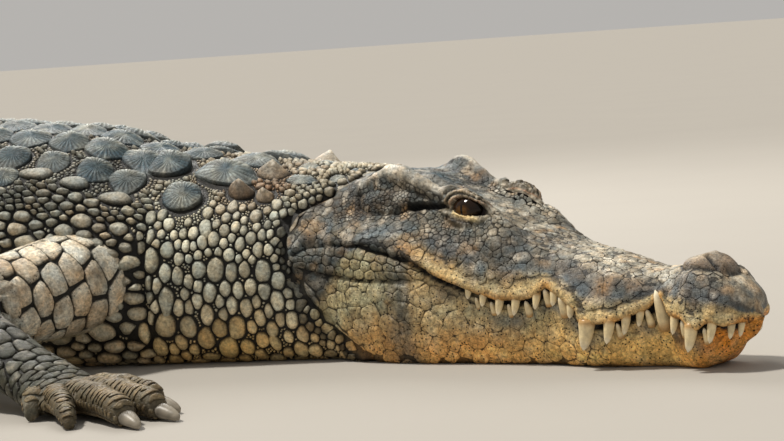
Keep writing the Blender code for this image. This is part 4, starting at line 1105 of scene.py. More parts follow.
def one_kind(hide, coat, who, per_run, per_girth, kind, nx, ny, limit, colour):
    """The chosen scales of one kind, as rings of points from their edges in."""
    sides, places, heights, ring_shade = KINDS[kind]
    count, rings = len(who), len(places)
    rng = np.random.default_rng(int(who[0]) + kind)
    flat = {key: coat[key][who][:, None] for key in FIELDS}
    deep = {key: value[:, :, None] for key, value in flat.items()}
    size, high, keel = deep["size"], deep["high"], deep["keel"]
    turn_by = rng.uniform(0, 2 * math.pi / sides, count)[:, None]
    angle = 2 * math.pi * np.arange(sides)[None, :] / sides + turn_by
    ex, ey = np.cos(angle), np.sin(angle)
    power = flat["square"]
    total = (1 / (flat["reach"] * flat["size"])) ** power + 0 * ex
    for k in range(nx.shape[1]):
        facing = np.maximum(nx[:, k:k + 1] * ex + ny[:, k:k + 1] * ey, 0)
        total += (facing / limit[:, k:k + 1]) ** power
    radius = total ** (-1 / power)
    f = np.tile([*places, 0.0], (count, 1))
    if kind == PLATE:
        # A plate's dark rim of painted shade is as narrow on a big plate as on a small one.
        f[:, 1:3] = 1 - 1 / np.clip(flat["size"], 0.3, 2.5) * flat["rim"] * (0.4, 1.0)
    f = f[:, :, None]
    # Ring points, with the middle as the last ring; it keeps one point when written.
    a = f * radius[:, None, :] * ex[:, None, :] * deep["wide"]
    h = f * radius[:, None, :] * ey[:, None, :] * deep["tall"]
    lean = hide.skew(coat["s"][who], coat["c"][who])[:, None, None]
    s = deep["s"] + (a - lean * h) / per_run[who][:, None, None]
    c = deep["c"] + h * np.hypot(1, lean) / per_girth[who][:, None, None]
    base, n = hide.at(s, c)
    level = np.array([*heights, 1.0])[None, :, None]
    z = np.where(level < 0, -(0.1 + 0.12 * high), level * high)
    inside = np.array([0.0, *([1.0] * rings)])[None, :, None]
    groove = 0.0
    if kind == SHIELD:
        # A shield is a lopsided roof: its line lies nearer the back's middle.
        along = a / (size * deep["wide"])
        across = np.sign(deep["c"]) * h / (size * deep["tall"]) + 0.42
        ridge = hill(across, 0, 0.12)
        roof = 1 - np.where(across > 0, across / 1.42, -across / 0.58)
        fall = 1 - np.clip(np.abs(along), 0, 1) ** 1.9
        z = z + inside * keel * (np.clip(roof, 0, 1) ** 1.1 * fall * (1 + 0.12 * along))
        way = np.arctan2(h, a)
        spokes = np.sin(way * 22 + rng.uniform(0, 6, count)[:, None, None] + 1.6 * np.sin(way * 2))
        groove = 0.06 * (spokes * f ** 0.5 * (1 - f ** 6) * 1.3) * inside
        z = z + groove * np.minimum(size, 2.5) * 0.4
    else:
        # Keel: a ridge along the body that rises to the rear.
        ridge = hill(h / size, 0, 0.16) * np.clip(0.75 + 0.35 * (a / size), 0, 1.2) * (1 - f ** 4)
        if kind == SCUTE:
            ridge = 0.3 * ridge + 0.7 * (1 - f)
        z = z + inside * keel * ridge
    rough = deep["rough"] * inside
    z = z + rough * lumps(base, 0.42, 15) + 0.6 * rough * lumps(base, 0.9, 16)
    lean = rng.normal(0, 0.05, (2, count, 1, 1)) * high / np.maximum(size, 0.3)
    z = z + inside * (lean[0] * a + lean[1] * h) * 1.2
    spot = base + n * z[..., None]
    spot[..., 2] = np.maximum(spot[..., 2], 0.03 - AXIS_SHIFT[2])
    # Colour: painted shade that runs near black down the sides into the grooves, a pale painted highlight
    # on top and along keel ridges, pitted most near the edge.
    if kind == PLATE:
        found = colour(s, c)
    else:
        found = np.broadcast_to(colour(coat["s"][who], coat["c"][who])[:, None, None], (*z.shape, 4))
    uneven = np.where(flat["s"] < 50, 0.42, 0.9) if hide.rails is not None else 0.6
    shift = uneven * rng.uniform(-0.32, 0.3, (count, 1)) + rng.normal(0, 0.02, (count, 1)) * (1, 0, -1)
    light = np.array([*ring_shade, 1.06])[None, :, None] + 0 * z
    # A shield's fine grooves get painted shade and the ribs between them a painted highlight.
    light = light * (1 + 0.75 * np.clip(groove * 12, -0.9, 0.5))
    top = blend(found[..., :3] * (1 + shift)[:, None, None], SCUTE_PALE,
                0.45 * (ridge * np.minimum(keel * 2, 1.0)))
    if kind == SHIELD:
        # On a shield: a pale painted highlight along the ridge line, with pale flecks of its own elsewhere.
        ridge_highlight_and_flecks = 0.6 * ridge + 0.35 * fade(lumps(base, 1.3, 18), 0.1, 0.7)
        top = painted(top, (SCUTE_BLUE, 0.85 + 0.4 * lumps(base, 2.2, 17)), (SCUTE_PALE, ridge_highlight_and_flecks)) * 0.8
    full = GROOVE_SHADE + (top - GROOVE_SHADE) * light[..., None]
    pits = found[..., 3] + 0.75 * f ** 4
    full = np.concatenate([np.clip(full, 0.004, 0.9), np.clip(pits, 0, 1)[..., None]], -1)
    return write_rings(spot, full, s, c, sides, rings)


def write_rings(spot, tone, s, c, sides, rings):
    """Rings of points, the last a single middle point, as flat lists of points and faces."""
    count, per = len(spot), rings * sides + 1
    keep = np.arange((rings + 1) * sides) < per
    points, tone, s, c = (v.reshape(count, (rings + 1) * sides, -1)[:, keep].reshape(count * per, -1)
                          for v in (spot, tone, s, c))
    last = np.arange(sides) + (rings - 1) * sides
    one = np.concatenate([tube_faces(rings, sides), fan(last, rings * sides, False)])
    faces = np.where(one < 0, -1, one + (np.arange(count) * per)[:, None, None]).reshape(-1, 4)
    return points, faces, tone, s[:, 0], c[:, 0]


def joined(made):
    """Several sets of points, faces, colours and places as one."""
    starts = np.cumsum([0, *(len(m[0]) for m in made[:-1])])
    faces = np.concatenate([np.where(m[1] < 0, -1, m[1] + start) for m, start in zip(made, starts)])
    points, tone, s, c = (np.concatenate([m[k] for m in made]) for k in (0, 2, 3, 4))
    return points, faces, tone, s, c


def coat_piece(name, made, girth, nodes, finish):
    """One joined mesh of scales, with the bake map laid out as the hide itself is."""
    points, faces, tone, s, c = joined(made)
    new_piece(name, points, faces, nodes, finish, tone, (even_share(s), even_share(c * girth)))


# ---- scales of head, neck, trunk, tail

def at_rail(hide, s, k, shift=0.0):
    """Girth place, 0 to 1, this many centimetres below a rail."""
    c = hide.rail_place(s, k)
    per = hide.frame(s, c)[5]
    return c + shift / per


def both(sets):
    """The same scales on both sides."""
    other = {f: v.copy() for f, v in sets.items()}
    other["c"] = -other["c"]
    return together(sets, other)


def at_height(hide, s, up):
    """Girth places, 0 to 1, where the hide's left side stands this high."""
    half = hide.grid.shape[1] // 2
    columns = np.arange(int(half * 0.12), int(half * 0.85))
    found = []
    for run, height in zip(s, up):
        i = np.searchsorted(hide.runs, run)
        falling = np.minimum.accumulate(hide.local[i, half + columns, 2])
        found.append(np.interp(-height, -falling, columns / half))
    return np.array(found)


def rictus_rows(hide, rng):
    """The three rows of squarish scales in the fold behind the mouth's corner."""
    rows = []
    s = np.arange(39.6, 57.0, 1.5)
    top = np.interp(s, [p[0] for p in RICTUS_TOP], [p[2] for p in RICTUS_TOP]) - 0.25
    low = np.interp(s, [p[0] for p in RICTUS_LOW], [p[2] for p in RICTUS_LOW]) + 0.25
    for k in range(3):
        height = top + (low - top) * (k + 0.5) / 3
        at = s + 0.5 * (k % 2) + rng.normal(0, 0.09, len(s))
        rows.append(scales(at, at_height(hide, s, height), 0.74,
                           high=0.14, kind=PLATE, tall=np.clip((top - low) / 3 / 1.3, 0.5, 1.0),
                           gap=-0.03, square=16, reach=1.6))
    return together(*rows)


# Nape shields as run, distance out, half length, half width, rise and kind.
NUCHAL = ((70.6, 3.1, 3.9, 3.0, 1.5, SHIELD), (78.4, 3.1, 3.6, 3.0, 1.4, SHIELD),
          (71.8, 9.0, 4.6, 3.8, 2.0, SHIELD), (80.6, 9.0, 4.2, 4.1, 2.1, SHIELD),
          (75.4, 15.2, 3.5, 3.5, 1.7, SHIELD), (63.0, 2.4, 2.0, 1.6, 0.9, SHIELD),
          (67.8, 12.0, 2.4, 2.1, 2.1, SCUTE), (63.8, 11.8, 1.7, 1.6, 1.5, SCUTE),
          (65.8, 6.4, 2.7, 2.3, 2.0, SCUTE), (60.6, 7.4, 2.4, 1.5, 0.9, SHIELD),
          (55.4, 2.3, 1.4, 1.3, 0.5, SHIELD), (55.8, 5.9, 1.4, 1.3, 0.5, SHIELD),
          (85.2, 17.8, 2.8, 1.4, 0.6, SCALE), (91.2, 17.5, 2.5, 1.4, 0.6, SCALE),
          (96.6, 16.9, 2.6, 1.4, 0.6, SCALE))
# The back's rows of shields from the middle out, as distance out, half width and keel.
DORSAL = ((3.0, 3.25, 1.0), (8.7, 3.2, 1.15), (14.0, 2.8, 1.0), (18.2, 2.0, 0.7))


def shields(hide, rng):
    """Bony shields: a few on the nape, then straight rows from shoulders to hips."""
    made = []
    for s, out, length, width, rise, kind in NUCHAL:
        low, keel = {SHIELD: (0.1, rise - 0.3), SCUTE: (0.12, rise * 1.15), SCALE: (rise, 0.0)}[kind]
        made.append(scales(s, out / hide.girth_size(s, 0.05), width, high=low, keel=keel, rough=0.06,
                           kind=kind, gap=0.08, wide=length / width, reach=1.1, square=5))
    for s in np.arange(84.6, 167.0, 5.3):
        columns = 3 if s < 100 or s > 156 else 4
        per = hide.girth_size(s, 0.05)
        for out, half, keel in DORSAL[:columns]:
            size = half * (1 + rng.normal(0, 0.03))
            made.append(scales(s + rng.normal(0, 0.2), (out + rng.normal(0, 0.15)) / per, size,
                               high=0.1, keel=keel + rng.normal(0, 0.08), rough=0.07,
                               kind=SHIELD, gap=-0.04, wide=1.04, tall=1.02, reach=1.3, square=9))
    return together(*made)


def belly_blocks(hide, rng):
    """Flat squarish scales in straight rows under jaw, throat, trunk and tail root."""
    made = []
    block = 2.7
    for s in np.arange(6.0, 168.0, block):
        start = at_rail(hide, np.array([s]), 9, 0.8 if s < 50 else -1.2)[0]
        per = hide.girth_size(s, 0.9)
        count = max(int((1 - start) * per / block), 1)
        c = 1 - (np.arange(count) + 0.5) * block / per
        made.append(scales(s + rng.normal(0, 0.05, count), c, block / 2, high=0.12, kind=GRANULE, gap=0.2,
                           rough=0.0, square=12, reach=1.5))
    return together(*made)


def tail_rings(hide, rng):
    """Tail scales in rings, one ring for each step of the crest."""
    made = []
    for start, end in zip(WHORL, WHORL[1:]):
        s, length = (start + end) / 2, (end - start) / 2
        per = hide.girth_size(s, 0.3)
        count = max(int(per / (length * 1.75)), 3)
        c = (np.arange(count) + 0.5) / count
        half = per / count / 2
        made.append(scales(s + rng.normal(0, 0.06, count), c, half, wide=length / half,
                           high=0.16 + 0.012 * length, keel=0.35 * (1 - c), rough=0.05,
                           kind=np.where(c < 0.6, SCUTE, SCALE), gap=0.2, square=10, reach=1.6))
    return together(*made)


def body_zone(hide):
    """Sizes of the scales that lie in no rows."""
    def sizes(s, c, small):
        q = hide.rail_at(s, c)
        p = hide.local_at(s, c)
        beside_eye = (p[..., 2] > 14) & (np.abs(p[..., 1]) > 3.4)
        eye = np.linalg.norm((p - (35.35, 0, 18.3)) * (0.8, 0, 1.15), axis=-1) + np.where(beside_eye, 0, 9)
        behind = behind_head(s, q)
        start = dict(size=1.12, wide=1, tall=1, high=0.06, rough=0.05, kind=PLATE, keel=0,
                     reach=2.4, square=22)
        made = {key: np.full(s.shape, float(value)) for key, value in start.items()}

        def put(where, **new):
            for key, value in new.items():
                made[key][where] = value

        put((q < 2.3) & (s < 30), size=0.75, wide=1.3, high=0.06, rough=0.11)
        put((q < 2.6) & (s >= 30), size=1.0, high=0.045, rough=0.06)
        put((s < 9) & (q < 5), size=0.8, high=0.035)
        put((s > 9) & (s < 27) & (q > 2.3), size=1.4)
        put((s > 27) & (q > 2.5) & (q < 5.6), size=0.86, high=0.08)
        put((s > 37) & (q > 1.6) & (q < 2.25), size=0.85, high=0.04, rough=0.06)
        put((s > 41) & (s < 52.4) & (q > 2.3) & (q < 3.4), size=0.34, high=0.07)
        put((s > 36.5) & (s < 41.5) & (q > 2.3) & (q < 4.2), size=0.48, high=0.08)
        put(eye < 4.9, size=0.48, high=0.08)
        put(eye < 3.7, size=0.33, high=0.07)
        put((q > 6.4) & (s < 60), size=1.35)
        put((q > 6.4) & (s > 38), size=1.05, high=0.08)
        put((q > 8.3) & (s < 52), size=1.1)
        put((s < 52) & (q > 9.6), size=0)
        made["gap"] = -0.07 * np.minimum(made["size"], 1.0)
        neck = behind > 0
        put(neck, size=0.86, wide=0.92, tall=1.15, high=0.42, rough=0.05, kind=SCALE, gap=0.06,
            reach=1.6, square=7.0)
        put(neck & (q < 3.2), size=0.62, wide=1.05, tall=0.9, high=0.45, keel=0.25)
        put(neck & (q > 5.2), size=1.12, wide=0.86, tall=1.3, high=0.42)
        put(neck & (q > 6.8), size=1.3, wide=0.9, tall=1.22, high=0.4)
        put(neck & (q > 8.3), size=1.3, wide=1.25, tall=0.85, high=0.26)
        put(neck & (behind < 1.3) & (q > 2.6), size=0.6, wide=1.0, tall=1.1, high=0.3)
        put(neck & (s > 55) & (s < 58) & (q < 2), size=0.4)
        side = s > 80
        put(side & (q < 8.2), size=1.15, wide=1.15, tall=0.8, high=0.5, keel=0.22, gap=0.2, reach=1.3)
        put(side & (q < 4.4), size=0.72, wide=1.2, tall=0.8, high=0.5, keel=0.3)
        put(side & (q < 2.6), size=0.5, high=0.4)
        put(side & (q > 6.4) & (q < 8.2), size=1.35)
        put(side & (q >= 8.2), size=1.3, wide=1.15, tall=0.95, high=0.2, keel=0)
        put((s > 51.5) & (q > 9.1), size=0)
        put(s > WHORL[0] - 1.0, size=0)
        bare = (bare_share(s, q, p) > 0.93) | (slit_share(p, 0.4) > 0.3) | (eye < 2.55) & (q > 1.5)
        # A blank is never made, but keeps the scales beside it off bare skin.
        put(bare & (s < 52), size=0.0 if small else 0.34, kind=BLANK, wide=1.0, tall=1.0)
        if small:
            put(behind < 1.5, size=0)
            made["size"] = np.where(made["size"] > 0, np.where(s > 77, 0.27, 0.2), 0)
            put(slice(None), wide=1, tall=1, high=0.2, keel=0, kind=GRANULE, gap=0.06, reach=1.3, square=8)
        return scales(s, c, **made)

    return sizes


def body_coat(hide, keep_clear):
    rng = np.random.default_rng(3)
    rows = both(together(rictus_rows(hide, rng), shields(hide, rng), belly_blocks(hide, rng),
                         tail_rings(hide, rng)))
    sizes = body_zone(hide)
    big = scatter(hide, lambda s, c: sizes(s, c, False), 11, rows, 0.62)
    first = together(rows, big)
    first = evened(hide, first, np.arange(len(first["s"])) >= len(rows["s"]), 9)
    fine = scatter(hide, lambda s, c: sizes(s, c, True), 12, first, 0.82)
    coat = together(first, fine)
    middle = hide.at(coat["s"], coat["c"])[0]
    return only(coat, keep_clear(middle))


# ---- scales of legs and digits

# Down a leg: the lengths of the rows and of the scales round each row.
LEG_SHARES = (0.0, 0.42, 0.5, 0.74, 0.84, 0.9, 1.0)
LEG_ROWS = (2.3, 2.4, 3.0, 3.0, 1.6, 0.9, 0.75)
LEG_ACROSS = (4.6, 4.2, 2.7, 2.4, 2.3, 2.6, 2.8)


def leg_coat(hide, rng):
    """Rings of lozenge scales down a leg, smaller to the wrist, with plain bands on the foot."""
    made = []
    s, row, length = hide.runs[0] + 3.0, 0, hide.runs[-1]
    while s < length - 0.6:
        tall, across = (float(np.interp(s / length, LEG_SHARES, v)) for v in (LEG_ROWS, LEG_ACROSS))
        per = hide.girth_size(s, 0.0)
        count = max(int(2 * per / across), 6)
        c = -1 + 2 * (np.arange(count) + 0.5 * (row % 2)) / count + rng.normal(0, 0.14 / per, count)
        place_s = s + rng.normal(0, 0.09, count) * tall + 0.5 * np.cos(c * math.pi)
        made.append(scales(np.clip(place_s, 0.3, length - 0.2), c, across / 2, wide=tall / across,
                           high=0.1 + 0.1 * tall * (np.abs(c) < 0.7), rough=0.07, gap=0.0, rim=0.16,
                           kind=PLATE, square=14))
        s += tall * 0.96
        row += 1
    return together(*made)


def digit_coat(hide, rng):
    """Bands over the top of a digit and small scales beneath."""
    made = []
    s, length, half = 0.3, hide.runs[-1], 0.36
    while s < length - 0.2:
        per = hide.girth_size(s, 0.0)
        made.append(scales(s + rng.normal(0, 0.03), rng.normal(0, 0.03), per * 0.4, wide=half / (per * 0.4),
                           high=0.12, gap=-0.14, reach=1.5, square=14, kind=PLATE))
        grain = per * 0.14
        made.append(scales(s + 0.15, np.array([-0.55, 0.55, -0.8, 0.8]), grain, wide=half / grain,
                           high=0.1, gap=0.08, rough=0.02, kind=GRANULE, reach=1.1))
        s += half * 1.95
    return together(*made)


# ---- skin

ARM_PARTS, LEG_PARTS = ("upper_arm", "forearm", "hand"), ("thigh", "shank", "foot")
FLESH = ("head", "lower_jaw", "neck", "trunk", "tail_1", "tail_2", "tail_3", "tail_4",
         *[f"{side}_{part}" for side in ("right", "left") for part in ARM_PARTS + LEG_PARTS])


def closed_tube(name, grid):
    """A closed mesh object, in metres, over rows of points with a point on each end."""
    rows, columns = grid.shape[:2]
    points = np.concatenate([grid.reshape(-1, 3), [grid[0].mean(0)], [grid[-1].mean(0)]])
    last = rows * columns
    faces = np.concatenate([
        tube_faces(rows, columns),
        fan(np.arange(columns), last, True),
        fan(np.arange(columns) + (rows - 1) * columns, last + 1, False)])
    mesh = bpy.data.meshes.new(name)
    quick_faces(mesh, points * CM, faces)
    return new_object(name, mesh)


def join_by_boolean(target, other, solver):
    modifier = target.modifiers.new("join", "BOOLEAN")
    modifier.operation = "UNION"
    modifier.solver = solver
    modifier.object = other
    bpy.context.view_layer.objects.active = target
    bpy.ops.object.modifier_apply(modifier=modifier.name)
    bpy.data.objects.remove(other)


def spread_columns(count_half):
    """Which columns of the fine grid the skin keeps: most on the back and sides."""
    top = np.unique(np.linspace(0, 0.58 * count_half, 88).round().astype(int))
    low = np.unique(np.linspace(0.58 * count_half, count_half, 25).round().astype(int))
    half = np.unique(np.concatenate([top, low]))
    return np.unique(np.concatenate([count_half - half, count_half + half[:-1]]))


# The body's fine rows that the skin keeps, as start, end and step.
SKIN_ROWS = ((-9, 2.5, 1), (2.5, 31, 2), (31, 41, 2), (41, 56, 3), (56, 82, 4), (82, 300, 5), (300, 999, 6))


def skin_object(body, limbs):
    runs = body.runs
    keep = np.concatenate([*(np.flatnonzero((runs >= start) & (runs < end))[::step]
                             for start, end, step in SKIN_ROWS), [len(runs) - 1]])
    columns = spread_columns(body.grid.shape[1] // 2)
    # Under the fine skin of the lids the main skin lies a little deeper.
    local = body.local[keep][:, columns]
    near = np.linalg.norm((local - LID_MIDDLE) * (0.8, 0, 1.0), axis=-1)
    near = np.where((local[..., 2] > 14) & (np.abs(local[..., 1]) > 3), near, 9.0)
    deeper = body.normals[keep][:, columns] * (0.35 * (1 - fade(near, 2.2, 3.2)))[..., None]
    skin = closed_tube("skin", body.grid[keep][:, columns] - deeper)
    for limb in limbs:
        hide = limb["leg"]
        rows = np.linspace(0, len(hide.runs) - 1, 62).round().astype(int)
        leg = closed_tube(limb["name"], hide.grid[rows][:, ::3])
        for digit in limb["digits"]:
            join_by_boolean(leg, closed_tube("digit", digit.grid[::2][:, ::3]), "EXACT")
        join_by_boolean(skin, leg, "MANIFOLD")
    return skin


def paint_skin(skin, body, limbs):
    """The same markings as on the scales, darkened almost to black as painted shade, since the skin shows
    only in the grooves between them; bare skin keeps more of its colour.
    """
    points = np.empty(len(skin.data.vertices) * 3, np.float32)
    skin.data.vertices.foreach_get("co", points)
    marks, tones = [], []
    for limb in (None, *limbs):
        hide = limb["leg"] if limb else body
        rows = np.arange(0, len(hide.runs), 4)
        if not limb:
            on_head = hide.runs < 42
            rows = np.concatenate([np.flatnonzero(on_head)[::2], np.flatnonzero(~on_head)[::4]])
        i, j = np.meshgrid(rows, np.arange(0, hide.grid.shape[1], 3), indexing="ij")
        s, c = hide.runs[i].ravel(), (-1 + 2 * j / hide.grid.shape[1]).ravel()
        if limb:
            tone = leg_tone(limb, s, c)
            # Painted shade: a leg's skin between scales is near black, lighter towards the knuckles.
            share = 0.03 + 0.75 * fade(s / hide.runs[-1], 0.82, 0.95)
        else:
            tone = body_tone(body, s, c)
            q = body.rail_at(s, c)
            # Painted shade: the skin between scales is near black, a little less dark on the head.
            under = 0.02 + 0.2 * (1 - fade(behind_head(s, q), -1.5, 0))
            share = under + (0.92 - under) * bare_share(s, q, body.local_at(s, c))
        tone[:, :3] *= share[:, None]
        marks.append(hide.grid[i, j].reshape(-1, 3))
        tones.append(tone)
    tree = tree_of(np.concatenate(marks))
    near = np.array([tree.find(p)[1] for p in points.reshape(-1, 3) / CM])
    paint_points(skin.data, np.concatenate(tones)[near])


def with_pits(tone, pits):
    """Colours with the strength of their pits as a fourth value."""
    return np.concatenate([tone, pits + 0 * tone[..., :1]], -1)


def body_tone(body, s, c):
    q = body.rail_at(s, c)
    return with_pits(body_markings(s, q, body.local_at(s, c)), pit_share(s, q)[..., None])


def digit_tone(digit, s, c):
    return with_pits(leg_markings(np.full(s.shape, 1.05), c, digit.at(s, c)[0], True), 0.2)


def leg_tone(limb, s, c):
    hide = limb["leg"]
    return with_pits(leg_markings(s / hide.runs[-1], c, hide.at(s, c)[0], limb["is_arm"]), 0.25)


# ---- eyes, lids, teeth, claws, crest

def lids(body, side, finish):
    """The fine skin round one eye: both lids, their folds, and the corner's pale lumps."""
    s = np.arange(31.2, 39.9, 0.075)
    q = np.linspace(1.5, 4.6, 120)
    rails = np.stack([body.rail_place(s, k) for k in range(12)], -1)
    c = side * np.array([np.interp(q, np.arange(12), row) for row in rails])
    grid_s, grid_q = np.broadcast_arrays(s[:, None], q)
    point, n = body.at(grid_s, c)
    local = body.local_at(grid_s, c)
    near = np.linalg.norm((local - LID_MIDDLE) * (0.8, 0, 1.0), axis=-1)
    # Folds that run with the upper rim, a thick pale lower rim, and lumps at the front corner.
    along, up = eye_place(local)
    tall = np.where(up > 0, upper_lid_height(along), 0.56)
    rim = np.hypot(along / np.where(along < 0, 3.2, 2.5), up / tall) + 0.03 * lumps(local, 0.8, 20)
    over_eye = fade(up, -0.35, 0.2) * fade(rim, 0.96, 1.04) * (1 - fade(rim, 2.2, 2.6)) * fade(q, 1.85, 2.2)
    wave = np.cos((rim - 1.1) * 2 * math.pi / 0.34)
    crease = np.clip(-wave, 0, 1) ** 3
    below = (1 - fade(up, -0.25, 0.1)) * hill(rim, 1.5, 0.4) * (1 - fade(along, 1.9, 2.6))
    corner = np.exp(-((along + 3.4) / 1.2) ** 2 - ((up + 0.2) / 0.9) ** 2)
    h = 0.05 - 0.5 * fade(near, 2.75, 3.3)
    pale_lumps = corner * (0.12 + 0.45 * lumps(local, 0.5, 23))
    h += (0.07 * wave - 0.2 * crease) * over_eye + 0.24 * below + pale_lumps
    h -= 0.2 * (1 - fade(up, -0.4, 0.0)) * hill(rim, 2.6, 0.3)
    h += 0.09 * lumps(local, 0.24, 21) * fade(rim, 1.0, 1.15)
    tone = painted(
        LID_OLIVE * 0.7,
        (tint(190, 180, 160), 0.75 * fade(lumps(local, 0.35, 22), 0, 0.6)),
        # Painted highlight on the crests of the folds over the eye, painted shade in their creases.
        (tint(166, 146, 120), over_eye * fade(wave, 0.2, 0.9) * (0.7 + 0.4 * lumps(local, 0.5, 26))),
        (tint(16, 10, 6), over_eye * np.minimum(crease * 2.2, 1)),
        (tint(170, 132, 104), 0.7 * fade(up, 0.05, 0.3) * hill(rim, 1.08, 0.04)),
        # Painted shade in the groove under the lower lid.
        (tint(22, 12, 6), (1 - fade(up, -0.4, -0.1)) * hill(rim, 2.7, 0.36) * 0.9),
        (LID_YELLOW, np.minimum(1, 1.4 * below) * (0.95 + 0.25 * lumps(local, 0.4, 24))),
        (tint(228, 214, 190), corner * (0.8 + 0.9 * lumps(local, 0.35, 25))),
        # Painted shade round the edge of the eye's opening.
        (tint(24, 12, 6), 1 - fade(eye_opening(local), 1.0, 1.1)),
        (body_tone(body, grid_s, c)[..., :3], 0.85 * fade(near, 2.0, 2.8)))
    faces = sheet_faces(*grid_s.shape)
    if side < 0:
        faces = faces[:, ::-1]
    keep = (near.reshape(-1)[faces] < 3.35).any(axis=1)
    new_piece("lids_" + ("left" if side > 0 else "right"), (point + n * h[..., None]).reshape(-1, 3),
              faces[keep], ["head"], finish,
              with_pits(np.clip(tone, 0.004, 1), 0.15).reshape(-1, 4),
              (even_share(grid_s).ravel(), even_share(grid_q).ravel()))


def eyeball(side, finish):
    """A glossy ball with a ringed iris and an upright slit pupil that looks out and forward."""
    label = "left" if side > 0 else "right"
    centre = Vector(middle_of("eye_" + label)) * CM
    low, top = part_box("eye_" + label)
    radius = (top.z - low.z) / 2 * 0.98
    bpy.ops.object.select_all(action="DESELECT")
    bpy.ops.mesh.primitive_uv_sphere_add(segments=96, ring_count=64, radius=radius, location=centre)
    ball = bpy.context.object
    ball.name = "eyeball_" + label
    bpy.ops.object.transform_apply(location=True, rotation=True, scale=True)
    eye_at = place(EYE_RUN, side * EYE_OUT, EYE_UP)
    out = place(EYE_RUN - 0.2, side * (EYE_OUT + 3), EYE_UP - 0.2) - eye_at
    look = out / np.linalg.norm(out)
    forward = place(EYE_RUN - 1, side * EYE_OUT, EYE_UP) - eye_at
    over = np.cross(look, (0, 0, 1.0))
    over /= np.linalg.norm(over)
    upward = np.cross(over, look)
    points = np.array([v.co for v in ball.data.vertices]) - np.array(centre)
    ways = points / np.linalg.norm(points, axis=1)[:, None]
    x, y, z = ways @ over, ways @ upward, ways @ look
    off = np.hypot(x, y)
    bulge = 1 + 0.035 * (1 - fade(off, 0.35, 0.75)) * (z > 0)
    points = points * bulge[:, None]
    points += 0.36 * (points @ forward)[:, None] * forward
    moved = np.array(centre) + points - 0.0012 * forward + 0.0022 * look - np.array([0, 0, 0.0028])
    ball.data.vertices.foreach_set("co", moved.astype(np.float32).ravel())
    iris = blend(tint(104, 70, 28), tint(34, 20, 9), fade(off, 0.12, 0.55))
    streak = 0.8 + 0.35 * np.sin(np.arctan2(y, x) * 46) * fade(off, 0.15, 0.4)
    iris = iris * streak[:, None]
    slit = 1 - fade(np.abs(x) / (0.06 * np.sqrt(np.maximum(1 - (y / 0.5) ** 2, 0)) + 0.004), 0.9, 1.15)
    dark = tint(20, 14, 8)
    tone = painted(iris, (tint(5, 4, 3), slit * (np.abs(y) < 0.5)), (dark, fade(off, 0.8, 0.92)))
    tone = np.where((z > 0)[:, None], tone, dark)
    paint_points(ball.data, tone)
    settle(ball, ["eye_" + label], finish)


def cone_of_rings(path, radii, sides, flat=1.0):
    """Points and faces of a tapering tube along a path, closed by its first and last rings."""
    ahead = unit(np.gradient(path, axis=0))
    hint = np.array([0, 0, 1.0]) if abs(ahead[0, 2]) < 0.8 else np.array([1.0, 0, 0])
    across = unit(np.cross(ahead, hint))
    over = np.cross(across, ahead)
    a = 2 * math.pi * np.arange(sides) / sides
    grid = path[:, None] + np.asarray(radii)[:, None, None] * (
        across[:, None] * np.cos(a)[None, :, None] * flat + over[:, None] * np.sin(a)[None, :, None])
    rows = len(path)
    points = np.concatenate([grid.reshape(-1, 3), path[:1], path[-1:]])
    # Seen along the way the ring turns from across to over, so the rows are taken backwards.
    faces = np.concatenate([tube_faces(rows, sides)[:, ::-1], fan(np.arange(sides), rows * sides, False),
                            fan(np.arange(sides) + (rows - 1) * sides, rows * sides + 1, True)])
    return points, faces


def tooth_row(name, teeth, upward, nodes, finish):
    """Both sides' teeth of one jaw, rooted beside the lip line."""
    made = []
    sign = 1 if upward else -1
    t = np.linspace(0, 1, 9)
    shade = np.concatenate([np.repeat(t, 12), [0, 1]])
    ivory = painted(tint(190, 148, 92), (tint(234, 214, 170), fade(shade, 0.05, 0.3)),
                    (tint(246, 234, 206), fade(shade, 0.6, 1.0)))
    for run, length, radius in teeth:
        long_tooth = length > 3
        root = float(mouth_up(run)) + 0.6
        inset = 0.42 + 1.4 * (1 - float(smooth_step((run - 1.2) / 1.5)))
        if upward:
            root = float(mouth_up(run)) - (2.6 if long_tooth else 1.2) - 0.6
            inset = 1.05
        slant = (0.3 if long_tooth else 0.42) if upward else 0.15
        curl = -0.25 if upward else 0.12
        tall = (length + 0.6) * t
        out = float(lip_out(run)) - inset + slant * tall + curl * length * 0.25 * t ** 2
        radii = 1.2 * radius * (1 - t ** 1.6 * 0.55) * np.sqrt(np.maximum(1 - t ** 7, 0.0)) + 0.02
        for side in (-1, 1):
            path = place(run + 0.12 * length * t ** 2, side * out, root + sign * tall) + AXIS_SHIFT
            points, faces = cone_of_rings(path, radii, 12)
            made.append((points, faces, ivory, np.zeros(len(points)), np.zeros(len(points))))
    points, faces, tone, _, _ = joined(made)
    new_piece(name, points, faces, nodes, finish, tone)


def claws_of(limb, finish):
    shape = limb["shape"]
    t = np.linspace(-0.22, 1, 14)
    shade = np.concatenate([np.repeat(t, 18), [0, 1]])
    tone = painted(HORN_GREY * 0.55, (HORN_GREY, fade(shade, 0.0, 0.35)),
                   (HORN_GREY * 1.35, fade(shade, 0.6, 1.0)))
    radii = shape["tip"] * 0.72 * np.clip(1 - np.maximum(t, 0), 0, 1) ** 0.45 + 0.05
    radii[0] *= 0.6
    for number, (way, end) in enumerate(limb["ways"][:3], 1):
        path = end[None] + way[None] * (t * shape["claw"] * 0.8)[:, None]
        lift = np.maximum(end[2] * 1.1 * (1 - np.maximum(t, 0) ** 2), 0.1)
        path[:, 2] = np.maximum(lift + 0.12, radii + 0.04)
        points, faces = cone_of_rings(path, radii, 18, 0.82)
        node = f"{limb['name']}_claw_{number}"
        new_piece(node + "_horn", points, faces, [node], finish, tone)


